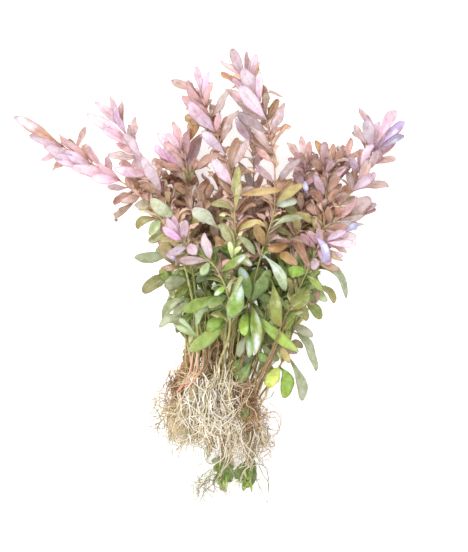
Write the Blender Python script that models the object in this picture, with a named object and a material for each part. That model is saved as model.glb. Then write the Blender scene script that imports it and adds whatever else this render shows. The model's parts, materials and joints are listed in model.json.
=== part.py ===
"""A harvested bunch of Ludwigia inclinata that lies on a flat surface.

The shoots grow towards +Y and fan out from a matted beard of roots at -Y. Distances in the tables are in
millimetres, seen from above, and the objects are made in metres. Each stem is a tapering four-sided tube
with its leaves drawn out of its faces in whorls, so a stem and its leaves are one closed solid.
"""

import math

import bpy
from mathutils import Matrix, Vector
from mathutils.bvhtree import BVHTree

MM = 0.001
UP = Vector((0, 0, 1))

STEM_RADII = (1.25, 0.8)
CROWN_LENGTH = 34
BAND = 1.5
BAND_REACH = 7.0
STEM_STEP = 26
LOBE_STEP = 12
LOBE_SIDES = 5
NODE_GAP = 0.3
BARE_STRETCH = 1.2
LONG_STRETCH = 5.0

LEAF_THICKNESS = 0.55
LEAF_MARGIN = 0.3
NECK = (0.38, 0.8)
SHOULDER = (0.72, 0.92)
NECK_SHARE = 0.6
PETIOLE_SHARE = 0.3
WIDEST = (0.56, 1.0)
ROOT_PLACES = ((0.35, 0.9), (0.7, 0.55))
LONG_LEAF = 23
SURFACE = 0.0

# Colour of each tone, and how far a leaf of that tone lifts towards the light over 25 mm of its length.
TONES = {
    "lilac": ((0.93, 0.80, 0.92), 7),
    "pink": ((0.96, 0.80, 0.87), 5),
    "hotpink": ((0.95, 0.56, 0.76), 8),
    "rosy": ((0.87, 0.60, 0.60), 1),
    "salmon": ((0.90, 0.56, 0.46), 1),
    "mauve": ((0.78, 0.60, 0.64), 2),
    "plum": ((0.48, 0.33, 0.33), -5),
    "brown": ((0.60, 0.44, 0.34), -4),
    "rust": ((0.66, 0.38, 0.25), -4),
    "amber": ((0.85, 0.64, 0.36), 6),
    "tan": ((0.80, 0.70, 0.55), 2),
    "cream": ((0.92, 0.90, 0.82), 6),
    "olive": ((0.60, 0.61, 0.33), 0),
    "gold": ((0.82, 0.77, 0.42), 3),
    "yellow": ((0.94, 0.95, 0.45), 7),
    "lime": ((0.58, 0.84, 0.38), 6),
    "green": ((0.47, 0.68, 0.35), 3),
    "deep": ((0.30, 0.50, 0.27), -3),
    "grey": ((0.62, 0.70, 0.55), 2),
    "mint": ((0.80, 0.92, 0.80), 8),
    "stem": ((0.78, 0.66, 0.52), 0),
    "root": ((0.88, 0.82, 0.70), 0),
    "bark": ((0.50, 0.33, 0.20), 0),
}

# Each shoot's route from its tip to its foot, as (x, y, z) points that a smooth curve runs through.
ROUTES = {
    "far_left": [
        (-104, 94, 13), (-88, 84, 17), (-70, 74, 24), (-55, 64, 32), (-42, 53, 41), (-27, 33, 50),
        (-17, 10, 53), (-13, -8, 52), (-9, -28, 50), (-9, -50, 46), (-14, -76, 40),
    ],
    "upper_left": [
        (-60, 105, 24), (-52, 92, 29), (-44, 78, 35), (-28, 50, 43), (-18, 30, 46), (-12, 10, 46),
        (-9, -10, 45), (-7, -25, 44), (-4, -50, 40), (-8, -76, 33),
    ],
    "mid_left": [
        (-20, 92, 22), (-16, 80, 25), (-15, 69, 28), (-12, 50, 31), (-12, 31, 33), (-6, 5, 35),
        (0, -25, 36), (0, -50, 34), (-2, -76, 28),
    ],
    "tall_middle": [
        (-7, 128, 22), (-2, 116, 28), (3, 103, 34), (10, 86, 42), (15, 70, 49), (17, 46, 55),
        (17, 20, 58), (13, -10, 57), (11, -30, 55), (10, -52, 51), (6, -76, 45),
    ],
    "tall_right": [
        (23, 139, 22), (36, 115, 28), (40, 100, 33), (43.5, 80, 40), (43.5, 52, 47), (40, 37, 50),
        (34, 18, 52), (28, -6, 53), (25, -30, 52), (20, -55, 46), (14, -76, 38),
    ],
    "slim_middle": [
        (28, 94, 26), (29, 80, 29), (29, 62, 32), (28, 45, 35), (24, 15, 38), (20, -15, 40),
        (14, -45, 38), (4, -76, 36),
    ],
    "rosy_right": [
        (64, 80, 32), (63, 60, 36), (60, 40, 39), (56, 20, 41), (50, 0, 40), (42, -25, 37),
        (30, -50, 33), (20, -76, 28),
    ],
    "brown_right": [
        (78, 78, 36), (77, 57, 42), (74, 42, 45), (70, 25, 47), (64, 5, 48), (56, -15, 48),
        (46, -38, 46), (34, -60, 40), (24, -78, 37),
    ],
    "straw_right": [
        (91, 84, 22), (83, 70, 26), (75, 54, 31), (68, 30, 35), (60, 8, 36), (50, -18, 35),
        (38, -45, 31), (26, -76, 26),
    ],
    "far_right": [
        (112, 96, 16), (106, 88, 20), (101, 72, 28), (96, 62, 34), (86, 50, 43), (76, 30, 51),
        (68, 10, 54), (59, -12, 54), (52, -30, 52), (42, -52, 47), (30, -78, 38),
    ],
    "fan_right": [
        (92, 44, 46), (83, 40, 52), (76, 36, 56), (70, 22, 60), (64, 4, 60), (57, -14, 59),
        (49, -30, 56), (38, -55, 50), (28, -76, 41),
    ],
    "pink_right": [
        (79, 27, 63), (72, 23, 66), (66, 12, 67), (60, -2, 66), (52, -18, 65), (42, -42, 61),
        (31, -70, 52),
    ],
    "centre": [
        (-22, 32, 68), (-11, 21, 70), (0, 14, 70), (6, 7, 69), (11, -4, 68), (14, -18, 66),
        (12, -38, 60), (5, -58, 51), (0, -76, 45),
    ],
    "low_right": [
        (60, -14, 40), (55, -34, 43), (50, -50, 41), (42, -64, 36), (33, -78, 30),
    ],
    "low_middle": [
        (44, 4, 44), (38, -18, 45), (35, -38, 43), (28, -58, 38), (16, -78, 32),
    ],
    "low_left": [
        (-27, 6, 36), (-22, -16, 38), (-16, -38, 39), (-12, -58, 36), (-14, -78, 31),
    ],
    "under_far_left": [
        (-50, 66, 10), (-37, 50, 13), (-24, 28, 17), (-14, 0, 20), (-8, -30, 22), (-9, -78, 22),
    ],
    "under_left": [
        (-24, 72, 9), (-14, 52, 12), (-8, 28, 16), (-2, -5, 22), (1, -40, 24), (-2, -78, 20),
    ],
    "under_middle": [
        (6, 70, 9), (6, 48, 12), (8, 20, 18), (8, -15, 24), (7, -50, 27), (4, -78, 26),
    ],
    "under_right": [
        (38, 66, 9), (34, 48, 12), (29, 25, 17), (21, -5, 23), (16, -40, 25), (10, -78, 22),
    ],
    "under_inner_right": [
        (58, 62, 10), (53, 45, 13), (46, 22, 17), (38, -5, 22), (28, -40, 24), (16, -78, 20),
    ],
    "under_far_right": [
        (86, 58, 9), (76, 43, 12), (63, 20, 17), (51, -5, 22), (38, -35, 24), (24, -78, 20),
    ],
    "under_low_right": [
        (78, -2, 18), (64, -14, 24), (52, -34, 28), (40, -56, 28), (29, -78, 22),
    ],
    "under_low_left": [
        (-27, -2, 12), (-21, -22, 16), (-15, -44, 18), (-13, -78, 16),
    ],
}

SHORT_CROWN = 20
LOW_SHOOTS = ("low_right", "low_middle", "low_left", "under_low_right", "under_low_left")

# Leaves seen from above: (tone, tip x, tip y, foot x, foot y, width), with a point that the leaf passes
# through at the end where it bends. A leaf grows from the nearest of the shoots named over its list.
LEAVES = {
    ("far_left",): [
        ("pink", -130.5, 111.5, -106, 95, 8), ("pink", -112.5, 91, -90, 80, 8),
        ("rust", -108, 77, -95, 80, 5), ("rosy", -114, 82, -98, 86, 4),
        ("brown", -96, 97, -90, 88, 4), ("mauve", -85.5, 105, -88, 92, 3),
        ("rosy", -84, 93, -72, 77, 5), ("brown", -86, 92, -78, 80, 5),
        ("pink", -105, 84, -82, 79, 9), ("pink", -93, 77, -68, 73, 8),
        ("pink", -80, 70, -60, 67, 7), ("mauve", -69, 64, -55, 62, 4),
        ("rosy", -70, 84, -66, 73, 5), ("lilac", -122, 99, -101, 92, 6),
        ("pink", -98, 88, -80, 77, 7), ("rosy", -76, 80, -61, 69, 5),
        ("brown", -64, 53, -50, 61, 4, -58, 57), ("salmon", -60, 54, -46, 57, 6),
        ("tan", -69, 43, -52, 54, 5, -61, 47), ("cream", -50, 51, -38, 53, 7),
        ("olive", -48, 35, -36, 43, 6, -44, 42), ("cream", -40, 31, -33, 41, 7),
        ("olive", -41, 27, -28, 33, 6), ("yellow", -29, 26, -16, 7, 9, -26, 13),
        ("grey", -50, 14, -31, 16, 8),
        ("rust", -33, 9, -18, 10, 4), ("rust", -56, 71, -50, 60, 5),
        ("grey", -36, 21, -22, 22, 6),
    ],
    ("upper_left",): [
        ("lilac", -77, 121, -61, 105, 6), ("mauve", -67, 125, -60, 104, 4),
        ("mauve", -59, 123, -59, 105, 3.5), ("pink", -83, 113, -57, 97, 8),
        ("pink", -65, 118, -56, 98, 5), ("rosy", -63, 93, -52, 86, 4.5),
        ("mauve", -51, 111, -50, 96, 5), ("lilac", -57, 99, -45, 81, 6.5),
        ("mauve", -69, 86, -48, 82, 5.5), ("pink", -64, 76, -43, 70, 7),
        ("lilac", -45, 82, -34, 62, 7.5), ("rosy", -54, 106, -53, 91, 5),
        ("mint", -39, 55, -24, 42, 9), ("rust", -52, 89, -43, 74, 5),
        ("brown", -48, 67, -35, 61, 5), ("pink", -72, 103, -52, 91, 6),
        ("salmon", -38, 70, -33, 56, 4),
    ],
    ("mid_left",): [
        ("lilac", -36, 102, -21, 84, 8), ("rosy", -31, 94, -18, 80, 5),
        ("rosy", -24.5, 108, -20, 88, 5), ("amber", -18, 109, -8, 97, 9, -12, 106),
        ("mauve", -8, 99, -14, 78, 8), ("rust", -9, 86, -14, 70, 5),
        ("rust", -37, 79, -18, 73, 5.5), ("pink", -29, 100, -20, 89, 6),
        ("mauve", -27, 88, -16, 74, 6), ("rosy", -14, 104, -17, 86, 5),
        ("brown", -24, 66, -14, 58, 6), ("olive", -23, 66, -26, 55, 4),
        ("brown", -26, 57, -12, 50, 3), ("brown", -2, 70, -12, 56, 5),
        ("rust", -28, 82, -15, 66, 5),
    ],
    ("tall_middle",): [
        ("mauve", -27, 136.5, -7, 126, 6), ("lilac", -9.5, 145, -7, 128, 4.5),
        ("lilac", -1.5, 141, -5, 124, 4.5), ("lilac", 2, 134, -2, 117, 4.5),
        ("rosy", -19, 124, -3, 114, 8), ("lilac", -15, 120, 2, 103, 9),
        ("mauve", 11, 130, 2, 110, 5), ("rosy", 6, 113, 4, 99, 4.5),
        ("brown", 12, 111, 6, 97, 5), ("lilac", -5, 101, 9, 87, 7),
        ("rosy", -9, 75, 11, 82, 6, 1, 84), ("pink", 2, 82, 14, 62, 8),
        ("mauve", 17, 116, 8, 92, 6), ("brown", 18, 96, 12, 78, 7),
        ("mauve", 26, 95, 14, 74, 5), ("olive", 19, 77, 17, 57, 6),
        ("brown", 6, 72, 16, 56, 5), ("rosy", -17, 131, -6, 119, 6),
        ("plum", -14, 136, -9, 123, 4), ("mint", -12, 46, 10, 36, 8),
        ("olive", 0, 51.5, 16, 45, 5, 10, 51), ("cream", 20, 66, 17, 51, 4),
        ("olive", 8, 39, 17, 22, 7),
    ],
    ("tall_right",): [
        ("mauve", 15, 156, 21, 138, 7), ("salmon", 6, 148, 19, 137, 3.5),
        ("mauve", 26, 155, 24, 136, 4), ("lilac", 31, 153, 26, 134, 6),
        ("lilac", 22, 143, 31, 123, 10), ("lilac", 20, 131, 35, 111, 10),
        ("lilac", 33, 141, 34, 119, 5), ("rosy", 10.5, 131, 31, 112, 7),
        ("rosy", 15, 137, 28, 126, 5), ("mauve", 18, 113, 37, 103, 8),
        ("mauve", 25, 104, 40, 90, 5.5), ("brown", 25, 98, 41, 84, 4),
        ("salmon", 30, 90, 42, 80, 5), ("mauve", 50, 120, 40, 98, 6),
        ("brown", 46, 123, 37, 109, 5), ("tan", 38, 128, 35, 113, 4),
        ("lilac", 54, 97, 44, 78, 4.5, 49, 94), ("mauve", 30, 78, 43, 65, 4.5),
        ("mauve", 60, 83, 45, 65, 5), ("brown", 7, 142, 23, 131, 4),
        ("mauve", 18, 121, 36, 107, 6), ("cream", 58, 54, 43, 50, 6),
        ("gold", 62, 65, 44, 53, 6), ("amber", 48.5, 60.5, 18, 58, 7.5, 34, 61),
        ("grey", 62, 42, 41, 36, 4, 50, 42), ("gold", 15, 33, 38, 34, 5, 30, 40),
    ],
    ("slim_middle",): [
        ("mauve", 17, 110, 28, 93, 6), ("mauve", 24, 108, 28, 90, 4.5),
        ("mauve", 34, 90, 29, 74, 4), ("salmon", 33, 104, 28, 88, 4),
        ("grey", 15, 33, 30, 17, 5, 21, 26), ("brown", 20, 82, 29, 66, 5),
        ("rust", 36, 74, 29, 58, 5), ("brown", 18, 66, 28, 50, 5),
        ("gold", 37, 38, 27, 27, 6), ("tan", 24, 54, 27, 38, 4.5),
        ("deep", 8, 22, 22, 4, 7), ("green", 34, 10, 22, -6, 7),
    ],
    ("rosy_right",): [
        ("salmon", 52, 94, 62, 82, 5.5), ("mauve", 61, 98, 63, 81, 5),
        ("salmon", 67, 94, 64, 79, 5), ("mauve", 52, 83, 62, 76, 4.5),
        ("rosy", 57, 87, 63, 74, 6), ("rosy", 72, 86, 64, 74, 6),
        ("rosy", 56, 76, 63, 66, 6), ("rust", 71, 76, 63, 65, 6),
        ("brown", 54, 66, 62, 56, 6), ("rust", 70, 65, 62, 54, 6),
        ("olive", 49, 52, 61, 44, 6), ("brown", 70, 53, 60, 42, 6),
        ("salmon", 42, 29, 56, 25, 4.5), ("salmon", 38, 23.5, 55, 24, 5.5),
        ("olive", 57, 46, 59, 33, 6), ("gold", 38, 37, 57, 28, 5, 46, 35),
        ("green", 64, 4, 51, 4, 7), ("deep", 38, -4, 47, -12, 7),
    ],
    ("brown_right",): [
        ("amber", 71, 95, 77, 80, 5), ("mauve", 77, 94, 78, 72, 8),
        ("mauve", 69, 72, 77, 57, 6.5), ("brown", 88, 90, 79, 73, 7),
        ("brown", 83, 92, 79, 76, 5.5), ("brown", 66, 85, 77, 73, 6),
        ("pink", 90, 77, 80, 66, 5), ("rust", 86, 72, 78, 60, 6),
        ("brown", 68, 62, 76, 50, 6), ("mauve", 86, 62, 76, 50, 5.5),
        ("gold", 57, 46, 74, 38, 6), ("rust", 64, 52, 75, 44, 6),
        ("brown", 84, 50, 75, 40, 5), ("salmon", 59, 11, 66, 22, 5.5, 60, 19),
        ("rust", 56, 28, 68, 22, 4.5),
    ],
    ("straw_right",): [
        ("salmon", 94, 97, 92, 80, 4.5), ("rust", 101, 90, 91, 80, 4.5),
        ("mauve", 86, 92, 90, 78, 4), ("rust", 94, 80, 85, 69, 5.5),
        ("pink", 91, 78, 83, 63, 5), ("tan", 81, 84, 84, 68, 4.5),
        ("brown", 72, 70, 79, 57, 5), ("rust", 88, 66, 79, 54, 5),
        ("olive", 82, 46, 73, 36, 6), ("brown", 62, 46, 71, 34, 6),
        ("rust", 74, 28, 66, 18, 6), ("green", 48, 22, 63, 14, 6),
    ],
    ("far_right",): [
        ("mauve", 100, 117, 108, 100, 3.5), ("lilac", 107, 112, 106, 88, 6.5),
        ("lilac", 114, 108, 108, 90, 6), ("lilac", 125, 115, 111, 92, 7.5),
        ("lilac", 131, 107, 112, 94, 7), ("pink", 131, 98, 113, 93, 4),
        ("salmon", 124, 103, 110, 86, 6), ("salmon", 125, 92, 108, 82, 5),
        ("salmon", 125, 82.5, 105, 78, 4.5, 116, 83), ("mauve", 95, 100, 104, 86, 4, 101, 97),
        ("mauve", 110, 74, 98, 64, 7.5), ("salmon", 107, 83, 100, 66, 6.5),
        ("salmon", 119, 63, 96, 58, 5, 108, 65), ("rust", 83, 53, 94, 60, 4.5),
        ("mauve", 97, 106, 105, 92, 5), ("rosy", 117, 88, 104, 77, 6),
        ("rosy", 93, 84, 101, 72, 6), ("lilac", 118, 100, 107, 86, 6),
        ("brown", 92, 74, 97, 62, 5), ("tan", 97, 57, 87, 50, 5),
        ("rust", 92, 50, 82, 42, 6), ("olive", 68, 44, 77, 32, 6),
    ],
    ("fan_right",): [
        ("mauve", 107, 56, 90, 43.5, 11), ("mauve", 111, 52, 92, 46, 5),
        ("rosy", 110, 48, 90, 45, 5), ("mauve", 103, 43, 86, 42, 5),
        ("mauve", 103, 38, 86, 40, 4), ("rosy", 99, 56, 85, 42, 5.5),
        ("rust", 92, 36, 80, 38, 5), ("salmon", 90, 33, 77, 34, 5.5),
        ("brown", 78, 50, 80, 38, 5),
    ],
    ("pink_right",): [
        ("hotpink", 97, 30.5, 78, 27, 8), ("lilac", 97, 25, 77, 25, 5),
        ("lilac", 90, 34, 76, 27, 5), ("rosy", 65, 34, 72, 24, 5),
        ("lilac", 71, 36, 74, 22, 5), ("lilac", 80, 12, 72, 21, 7),
        ("lilac", 68, 8, 72, 18, 6), ("plum", 92, 21, 76, 25, 4),
        ("tan", 87, 12, 73, 20, 3.5), ("tan", 86, 7.5, 70, 15, 3.5),
        ("rosy", 60, 32, 70, 21, 5), ("pink", 88, 17, 75, 21, 4.5),
    ],
    ("centre",): [
        ("hotpink", -31, 36, -18, 27, 6), ("lilac", -29, 42, -19, 29, 5.5),
        ("pink", -16, 41, -18, 29, 6), ("pink", -24, 44, -21, 30, 5),
        ("lilac", -9, 18, -16, 27, 7), ("pink", -5, 32, 1, 14, 7),
        ("lilac", -28, 18, -14, 23, 5.5),
        ("pink", -33, 28, -20, 29, 5),
        ("mint", 24, 18, 8, 6, 6),
    ],
    ("low_right",): [
        ("green", 66, -8, 59, -17, 6), ("deep", 40, -38, 52, -42, 6), ("green", 48, -30, 56, -30, 5),
    ],
    ("low_middle",): [
        ("green", 52, 10, 43, -2, 7), ("lime", 34, 8, 43, -2, 6), ("green", 50, -22, 38, -20, 6),
        ("deep", 28, -26, 37, -28, 6),
    ],
    ("low_left",): [
        ("green", -34, 8, -26, 2, 6), ("deep", -29, -14, -22, -12, 6), ("green", -12, -2, -24, -4, 6),
    ],
    ("far_left", "upper_left", "mid_left", "low_left"): [
        ("olive", -45, -7, -26, 8, 9), ("grey", -30, -3, -15, 2, 10), ("deep", -22, -9, -14, -2, 6),
        ("lime", -22, -5, -14, -4, 5), ("grey", -31, -25, -15, -12, 6.5, -25, -13),
        ("tan", -24, -18, -14, -13, 3), ("grey", -25, -24, -15, -13, 5),
        ("mint", -34, -30, -12, -38, 6, -23, -26), ("mint", -24, -24, -12, -33, 8),
        ("grey", -22, -34, -19, -27, 5), ("grey", -9, 0, 3, 5, 7, -4, 4),
        ("green", -10, -6, -2, -9, 5), ("rust", -4, 0, 3, 6, 4),
    ],
    ("centre", "tall_middle"): [
        ("mint", -6, 5, 0, 13, 6), ("mauve", -20, 14, -4, 16, 6), ("lime", -18, -20, -3, -10, 8),
        ("mint", -8, -30, 2, -17, 4, -5, -19), ("lime", -1, -33, 6, -19, 9),
        ("green", -14, -46, 12, -28, 10),
        ("mint", 1, -4, 13, -1, 4), ("green", 0, -13, 9, -13, 5), ("cream", 3, -9, 12, -2, 4),
        ("green", 13, -24, 20, -2, 12), ("lime", 14, 12, 17, 27, 8, 13, 22), ("deep", -2, -18, 11, -10, 7),
        ("cream", 28, 11, 16, 18, 6),
    ],
    ("tall_right", "low_middle"): [
        ("mint", 20, 10, 29, -11, 8.5), ("deep", 40, 8, 28, -14, 9), ("olive", 45, -30, 39, -3, 9),
        ("lime", 58, -47, 31, -21, 8), ("lime", 23, -35, 21, -18, 7), ("mint", 26, -50, 26, -20, 7),
        ("mint", 31, -47, 30, -15, 7.5), ("deep", 45, -44, 38, -31, 6), ("grey", 46, -53, 32, -41, 6),
        ("lime", 38, -53, 31, -45, 6), ("olive", 43, -61, 34, -52, 6), ("grey", 16, -59, 31, -46, 6.5),
        ("deep", 14, -67, 27, -57, 6.5), ("grey", 19, -50, 22, -35, 5), ("gold", 31, 14, 23, 17, 5),
        ("green", 40, -16, 32, -4, 6), ("deep", 34, -12, 24, -6, 6),
    ],
    ("fan_right", "pink_right", "far_right"): [
        ("mint", 50, -6.5, 37, 17, 8, 45, 5), ("green", 52, 5, 65, 5, 7), ("olive", 58, -15, 62, -1, 9),
        ("mint", 77, -13, 70, -4, 6), ("green", 74, -6, 61, 4, 5, 69, 0),
        ("grey", 90, -11, 67, 6, 4.5, 81, 6),
        ("olive", 82, -14, 70, 2, 4.5, 79, -4), ("green", 73, -25, 63, -13, 7, 69, -17),
        ("olive", 64, -26, 62, -14, 5), ("lime", 50, -32, 58, -14, 6), ("deep", 70, -14, 60, -4, 6),
    ],
    ("far_right", "low_right"): [
        ("grey", 68.5, -36, 54, -29, 6.5), ("grey", 68, -59, 53, -34, 5, 65, -42),
        ("grey", 63, -80, 52, -50, 6, 60, -64), ("lime", 49, -77.5, 47, -53, 9.5, 52, -65),
        ("yellow", 37.5, -70, 46, -57, 9.5), ("gold", 53, -54, 48, -41, 5), ("rust", 58, -48, 48, -43, 4),
        ("olive", 62, -44, 53, -36, 5),
    ],
}

# Whorls that fill the bunch behind the leaves above: for each shoot the tone near the tip, the tone near
# the foot, where they start and end as shares of its length, the distance between whorls and the length
# of a leaf.
WHORLS = {
    "under_far_left": ("rust", "olive", 0.52, 1.0, 15, 23),
    "under_left": ("brown", "olive", 0.5, 1.0, 15, 24),
    "under_middle": ("rust", "deep", 0.45, 1.0, 15, 24),
    "under_right": ("brown", "olive", 0.45, 1.0, 15, 24),
    "under_inner_right": ("rust", "deep", 0.4, 1.0, 15, 24),
    "under_far_right": ("brown", "olive", 0.4, 1.0, 15, 24),
    "under_low_right": ("green", "deep", 0.3, 1.0, 15, 24),
    "under_low_left": ("olive", "deep", 0.3, 1.0, 14, 22),
}
WHORL_SIZE = 3
GOLDEN_ANGLE = math.radians(137.5)

# Leaves on the far side of the long shoots, which the ones above hide from straight over them.
BACK_LEAVES = (
    "far_left", "upper_left", "tall_middle", "tall_right", "far_right", "fan_right", "pink_right", "centre",
    "rosy_right", "brown_right",
)

# Gaps in the bunch through which the surface shows: (x, y, half width, half height).
GAPS = [
    (-6, 61, 4, 9), (-5, 88, 5, 9), (14, 99, 5, 6), (25, 88, 3, 5), (25, 71, 3, 7), (37, 74, 6, 10),
    (51, 82, 6, 13), (-26, 73, 2, 2), (86, 63, 4, 6), (-60, 30, 12, 12), (105, 20, 15, 20),
]

# The left and right edges of the bunch, as (y, left, right), which leaves that fill the depth keep inside.
EDGES = [
    (-60, -13, 44), (-45, -15, 54), (-35, -17, 57), (-25, -27, 62), (-10, -28, 74), (10, -35, 78),
    (20, -40, 78), (30, -38, 87), (45, -48, 86), (65, -58, 97), (75, -60, 99), (85, -32, 98),
    (110, -26, 98),
]

# Root lobes and what hangs in them: the route from the far tip to the end near the stems, the radii from
# that end to the tip, how high the section is for its width, and the tone.
LOBES = {
    "roots_left": (
        [(-25, -116, 6), (-21, -101, 13), (-16, -92, 17), (-12, -83, 20)],
        (3, 7, 7.5, 6.5, 4, 1.2), 1.0, "root",
    ),
    "roots_middle": (
        [(-7, -142, 3), (-6, -124, 10), (-3, -108, 18), (0, -95, 26), (1, -83, 30)],
        (3, 7, 7, 6, 4.5, 3, 1), 1.0, "root",
    ),
    "roots_column": (
        [(9, -123, 8), (11, -112, 11), (13, -97, 15), (12, -83, 17)],
        (2.5, 5, 5.5, 4.5, 2.5), 1.0, "root",
    ),
    "roots_right": (
        [(26, -123, 7), (28, -110, 12), (28, -97, 18), (25, -84, 23)],
        (3, 6.5, 6.5, 5, 2.5), 1.0, "root",
    ),
    "roots_front_left": (
        [(-14, -112, 32), (-15, -98, 43), (-12, -80, 52), (-9, -62, 55)],
        (1.5, 5, 7, 6, 1.5), 0.5, "root",
    ),
    "roots_front_middle": (
        [(2, -113, 31), (1, -99, 43), (-1, -82, 53), (0, -64, 57)],
        (1.2, 4, 5.5, 4.5, 1.2), 0.6, "root",
    ),
    "roots_front_right": (
        [(14, -110, 30), (14, -97, 40), (12, -82, 50), (12, -66, 56)],
        (1.2, 4, 5.5, 4.5, 1.2), 0.6, "root",
    ),
    "debris_bark": ([(33, -93, 38), (28, -86, 44), (23, -77, 51)], (1.0, 3, 3.5, 1.2), 0.5, "bark"),
    "clump_middle": ([(9, -138, 6), (9, -124.5, 8)], (1.2, 2.2, 1.8, 1.0), 1.0, "deep"),
    "clump_right": ([(24, -138, 6), (25, -125, 8)], (1.2, 2.4, 2, 1.0), 1.0, "deep"),
}

# Fingers of the lobes: (tip x, tip y, tip z, foot x, foot y, width).
FINGERS = {
    "roots_left": [
        (-33, -93, 6, -20, -92, 3), (-32, -107, 3, -22, -100, 3), (-47, -91, 3, -19, -88, 3),
        (-26, -122, 2, -24, -112, 3), (-38, -76, 8, -17, -84, 3), (-24, -121, 9, -21, -106, 3),
    ],
    "roots_middle": [
        (-15, -146, 2, -8, -130, 3), (-10, -147, 3, -6, -126, 3), (-3, -148, 2, -5, -122, 3),
        (-13, -156, 2, -6, -118, 2.5), (-17, -128, 4, -6, -112, 3),
    ],
    "roots_column": [(19, -130, 2, 12, -106, 3), (3, -132, 3, 10, -112, 3), (9, -149, 2, 10, -118, 2.5)],
    "roots_right": [
        (48, -101, 4, 30, -93, 3), (44, -113, 3, 30, -100, 3), (39, -128, 3, 29, -108, 3),
        (38, -153, 2, 27, -118, 2.5), (46, -88, 10, 29, -86, 3), (40, -98, 14, 30, -90, 3),
    ],
    "roots_front_left": [
        (-30, -58, 40, -13, -70, 2.5), (-38, -78, 36, -15, -80, 3), (-48, -84, 26, -16, -88, 2.5),
        (-30, -100, 30, -17, -96, 3), (-27, -70, 44, -14, -76, 3),
    ],
    "roots_front_middle": [(-3, -122, 26, 0, -100, 3), (7, -119, 24, 2, -102, 3)],
    "roots_front_right": [
        (22, -100, 40, 15, -86, 3), (24, -112, 30, 15, -98, 3), (30, -72, 48, 13, -76, 2.5),
    ],
    "debris_bark": [(35, -84, 42, 27, -83, 4)],
    "clump_middle": [
        (3, -137, 5, 9, -127, 3), (6, -144, 3, 9, -133, 3), (12, -143, 3, 9, -133, 3),
        (15, -135, 5, 9, -127, 3),
    ],
    "clump_right": [
        (17, -136, 5, 24, -128, 3), (20, -143, 3, 24, -133, 3), (28, -143, 3, 24, -133, 3),
        (32, -137, 5, 25, -128, 3), (30, -131, 9, 25, -127, 3),
    ],
}


def smooth(points, step):
    """Points about a step apart on the Catmull-Rom curve through the given ones."""
    points = [Vector(p) for p in points]
    padded = [2 * points[0] - points[1]] + points + [2 * points[-1] - points[-2]]
    found = []
    for p0, p1, p2, p3 in zip(padded, padded[1:], padded[2:], padded[3:]):
        count = max(1, round((p2 - p1).length / step))
        for i in range(count):
            t = i / count
            found.append(
                0.5 * (2 * p1 + (p2 - p0) * t + (2 * p0 - 5 * p1 + 4 * p2 - p3) * t**2
                       + (3 * p1 - p0 - 3 * p2 + p3) * t**3)
            )
    return found + [points[-1]]


def bezier(a, b, c, t):
    return a * (1 - t) ** 2 + b * (2 * t * (1 - t)) + c * t**2


class Stem:
    """A tapering tube along a route from its foot to its tip, with bands of faces that leaves grow from."""

    def __init__(self, name, points, sides, radii=STEM_RADII, flat=1.0, tone="stem"):
        self.name = name
        self.step = STEM_STEP if tone == "stem" else LOBE_STEP
        self.path = smooth(points, 1.0)[::-1]
        self.radii = radii
        self.sides = sides
        self.flat = flat
        self.tone = tone
        self.length = sum((b - a).length for a, b in zip(self.path, self.path[1:]))
        self.bands = []
        self.tree = None

    def at(self, s):
        """The middle of the tube at a distance s from the foot."""
        i = min(max(s / self.length, 0), 1) * (len(self.path) - 1)
        j = min(int(i), len(self.path) - 2)
        return self.path[j].lerp(self.path[j + 1], i - j)

    def frame(self, s):
        """The directions along, across and above the tube at s."""
        along = (self.at(s + 2) - self.at(s - 2)).normalized()
        above = (UP - along * UP.dot(along)).normalized()
        return along, above.cross(along), above

    def radius(self, s):
        i = min(max(s / self.length, 0), 1) * (len(self.radii) - 1)
        j = min(int(i), len(self.radii) - 2)
        return self.radii[j] + (self.radii[j + 1] - self.radii[j]) * (i - j)

    def ring(self, s):
        _, across, above = self.frame(s)
        middle = self.at(s)
        found = []
        for k in range(self.sides):
            angle = 2 * math.pi * (k + 0.5) / self.sides
            out = across * math.cos(angle) + above * (math.sin(angle) * self.flat)
            found.append(middle + out * (self.radius(s) / math.cos(math.pi / self.sides)))
        return found

    def nearest(self, x, y):
        """The distance from the foot at which the tube passes nearest to (x, y), and how near."""
        gaps = [(math.hypot(p.x - x, p.y - y), i) for i, p in enumerate(self.path)]
        gap, i = min(gaps)
        return i / (len(self.path) - 1) * self.length, gap

    def side_normal(self, s, side):
        _, across, above = self.frame(s)
        angle = 2 * math.pi * (side + 1) / self.sides
        return across * math.cos(angle) + above * math.sin(angle)

    def free_side(self, bands, leaf):
        """The free side of those bands that looks most the way the leaf heads, or None."""
        found = [
            (self.side_normal(band["s"], side).dot(leaf.heading), i, side)
            for i, band in enumerate(bands)
            for side in range(self.sides)
            if side not in band["leaves"]
        ]
        if not found:
            return None
        score, i, side = max(found)
        return score, bands[i], side

    def seat(self, leaf):
        """Gives the leaf a free side of a band near its place, or a new band."""
        near = [band for band in self.bands if leaf.s - band["s"] <= BAND_REACH]
        found = self.free_side(near, leaf)
        if found is None or found[0] < 0:
            end = self.bands[-1]["s"] + BAND if self.bands else 0
            s = min(max(leaf.s, end), self.length - BAND - 0.2)
            if s < end - 0.01:
                found = found or self.free_side(self.bands[-4:], leaf)
            else:
                self.bands.append({"s": end if s < end + 0.5 else s, "leaves": {}})
                found = self.free_side(self.bands[-1:], leaf)
        if found is None:
            return False
        _, band, side = found
        band["leaves"][side] = leaf
        low, high = self.ring(band["s"]), self.ring(band["s"] + BAND)
        after = (side + 1) % self.sides
        leaf.corners = [low[side], low[after], high[after], high[side]]
        leaf.band = band
        return True


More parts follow.
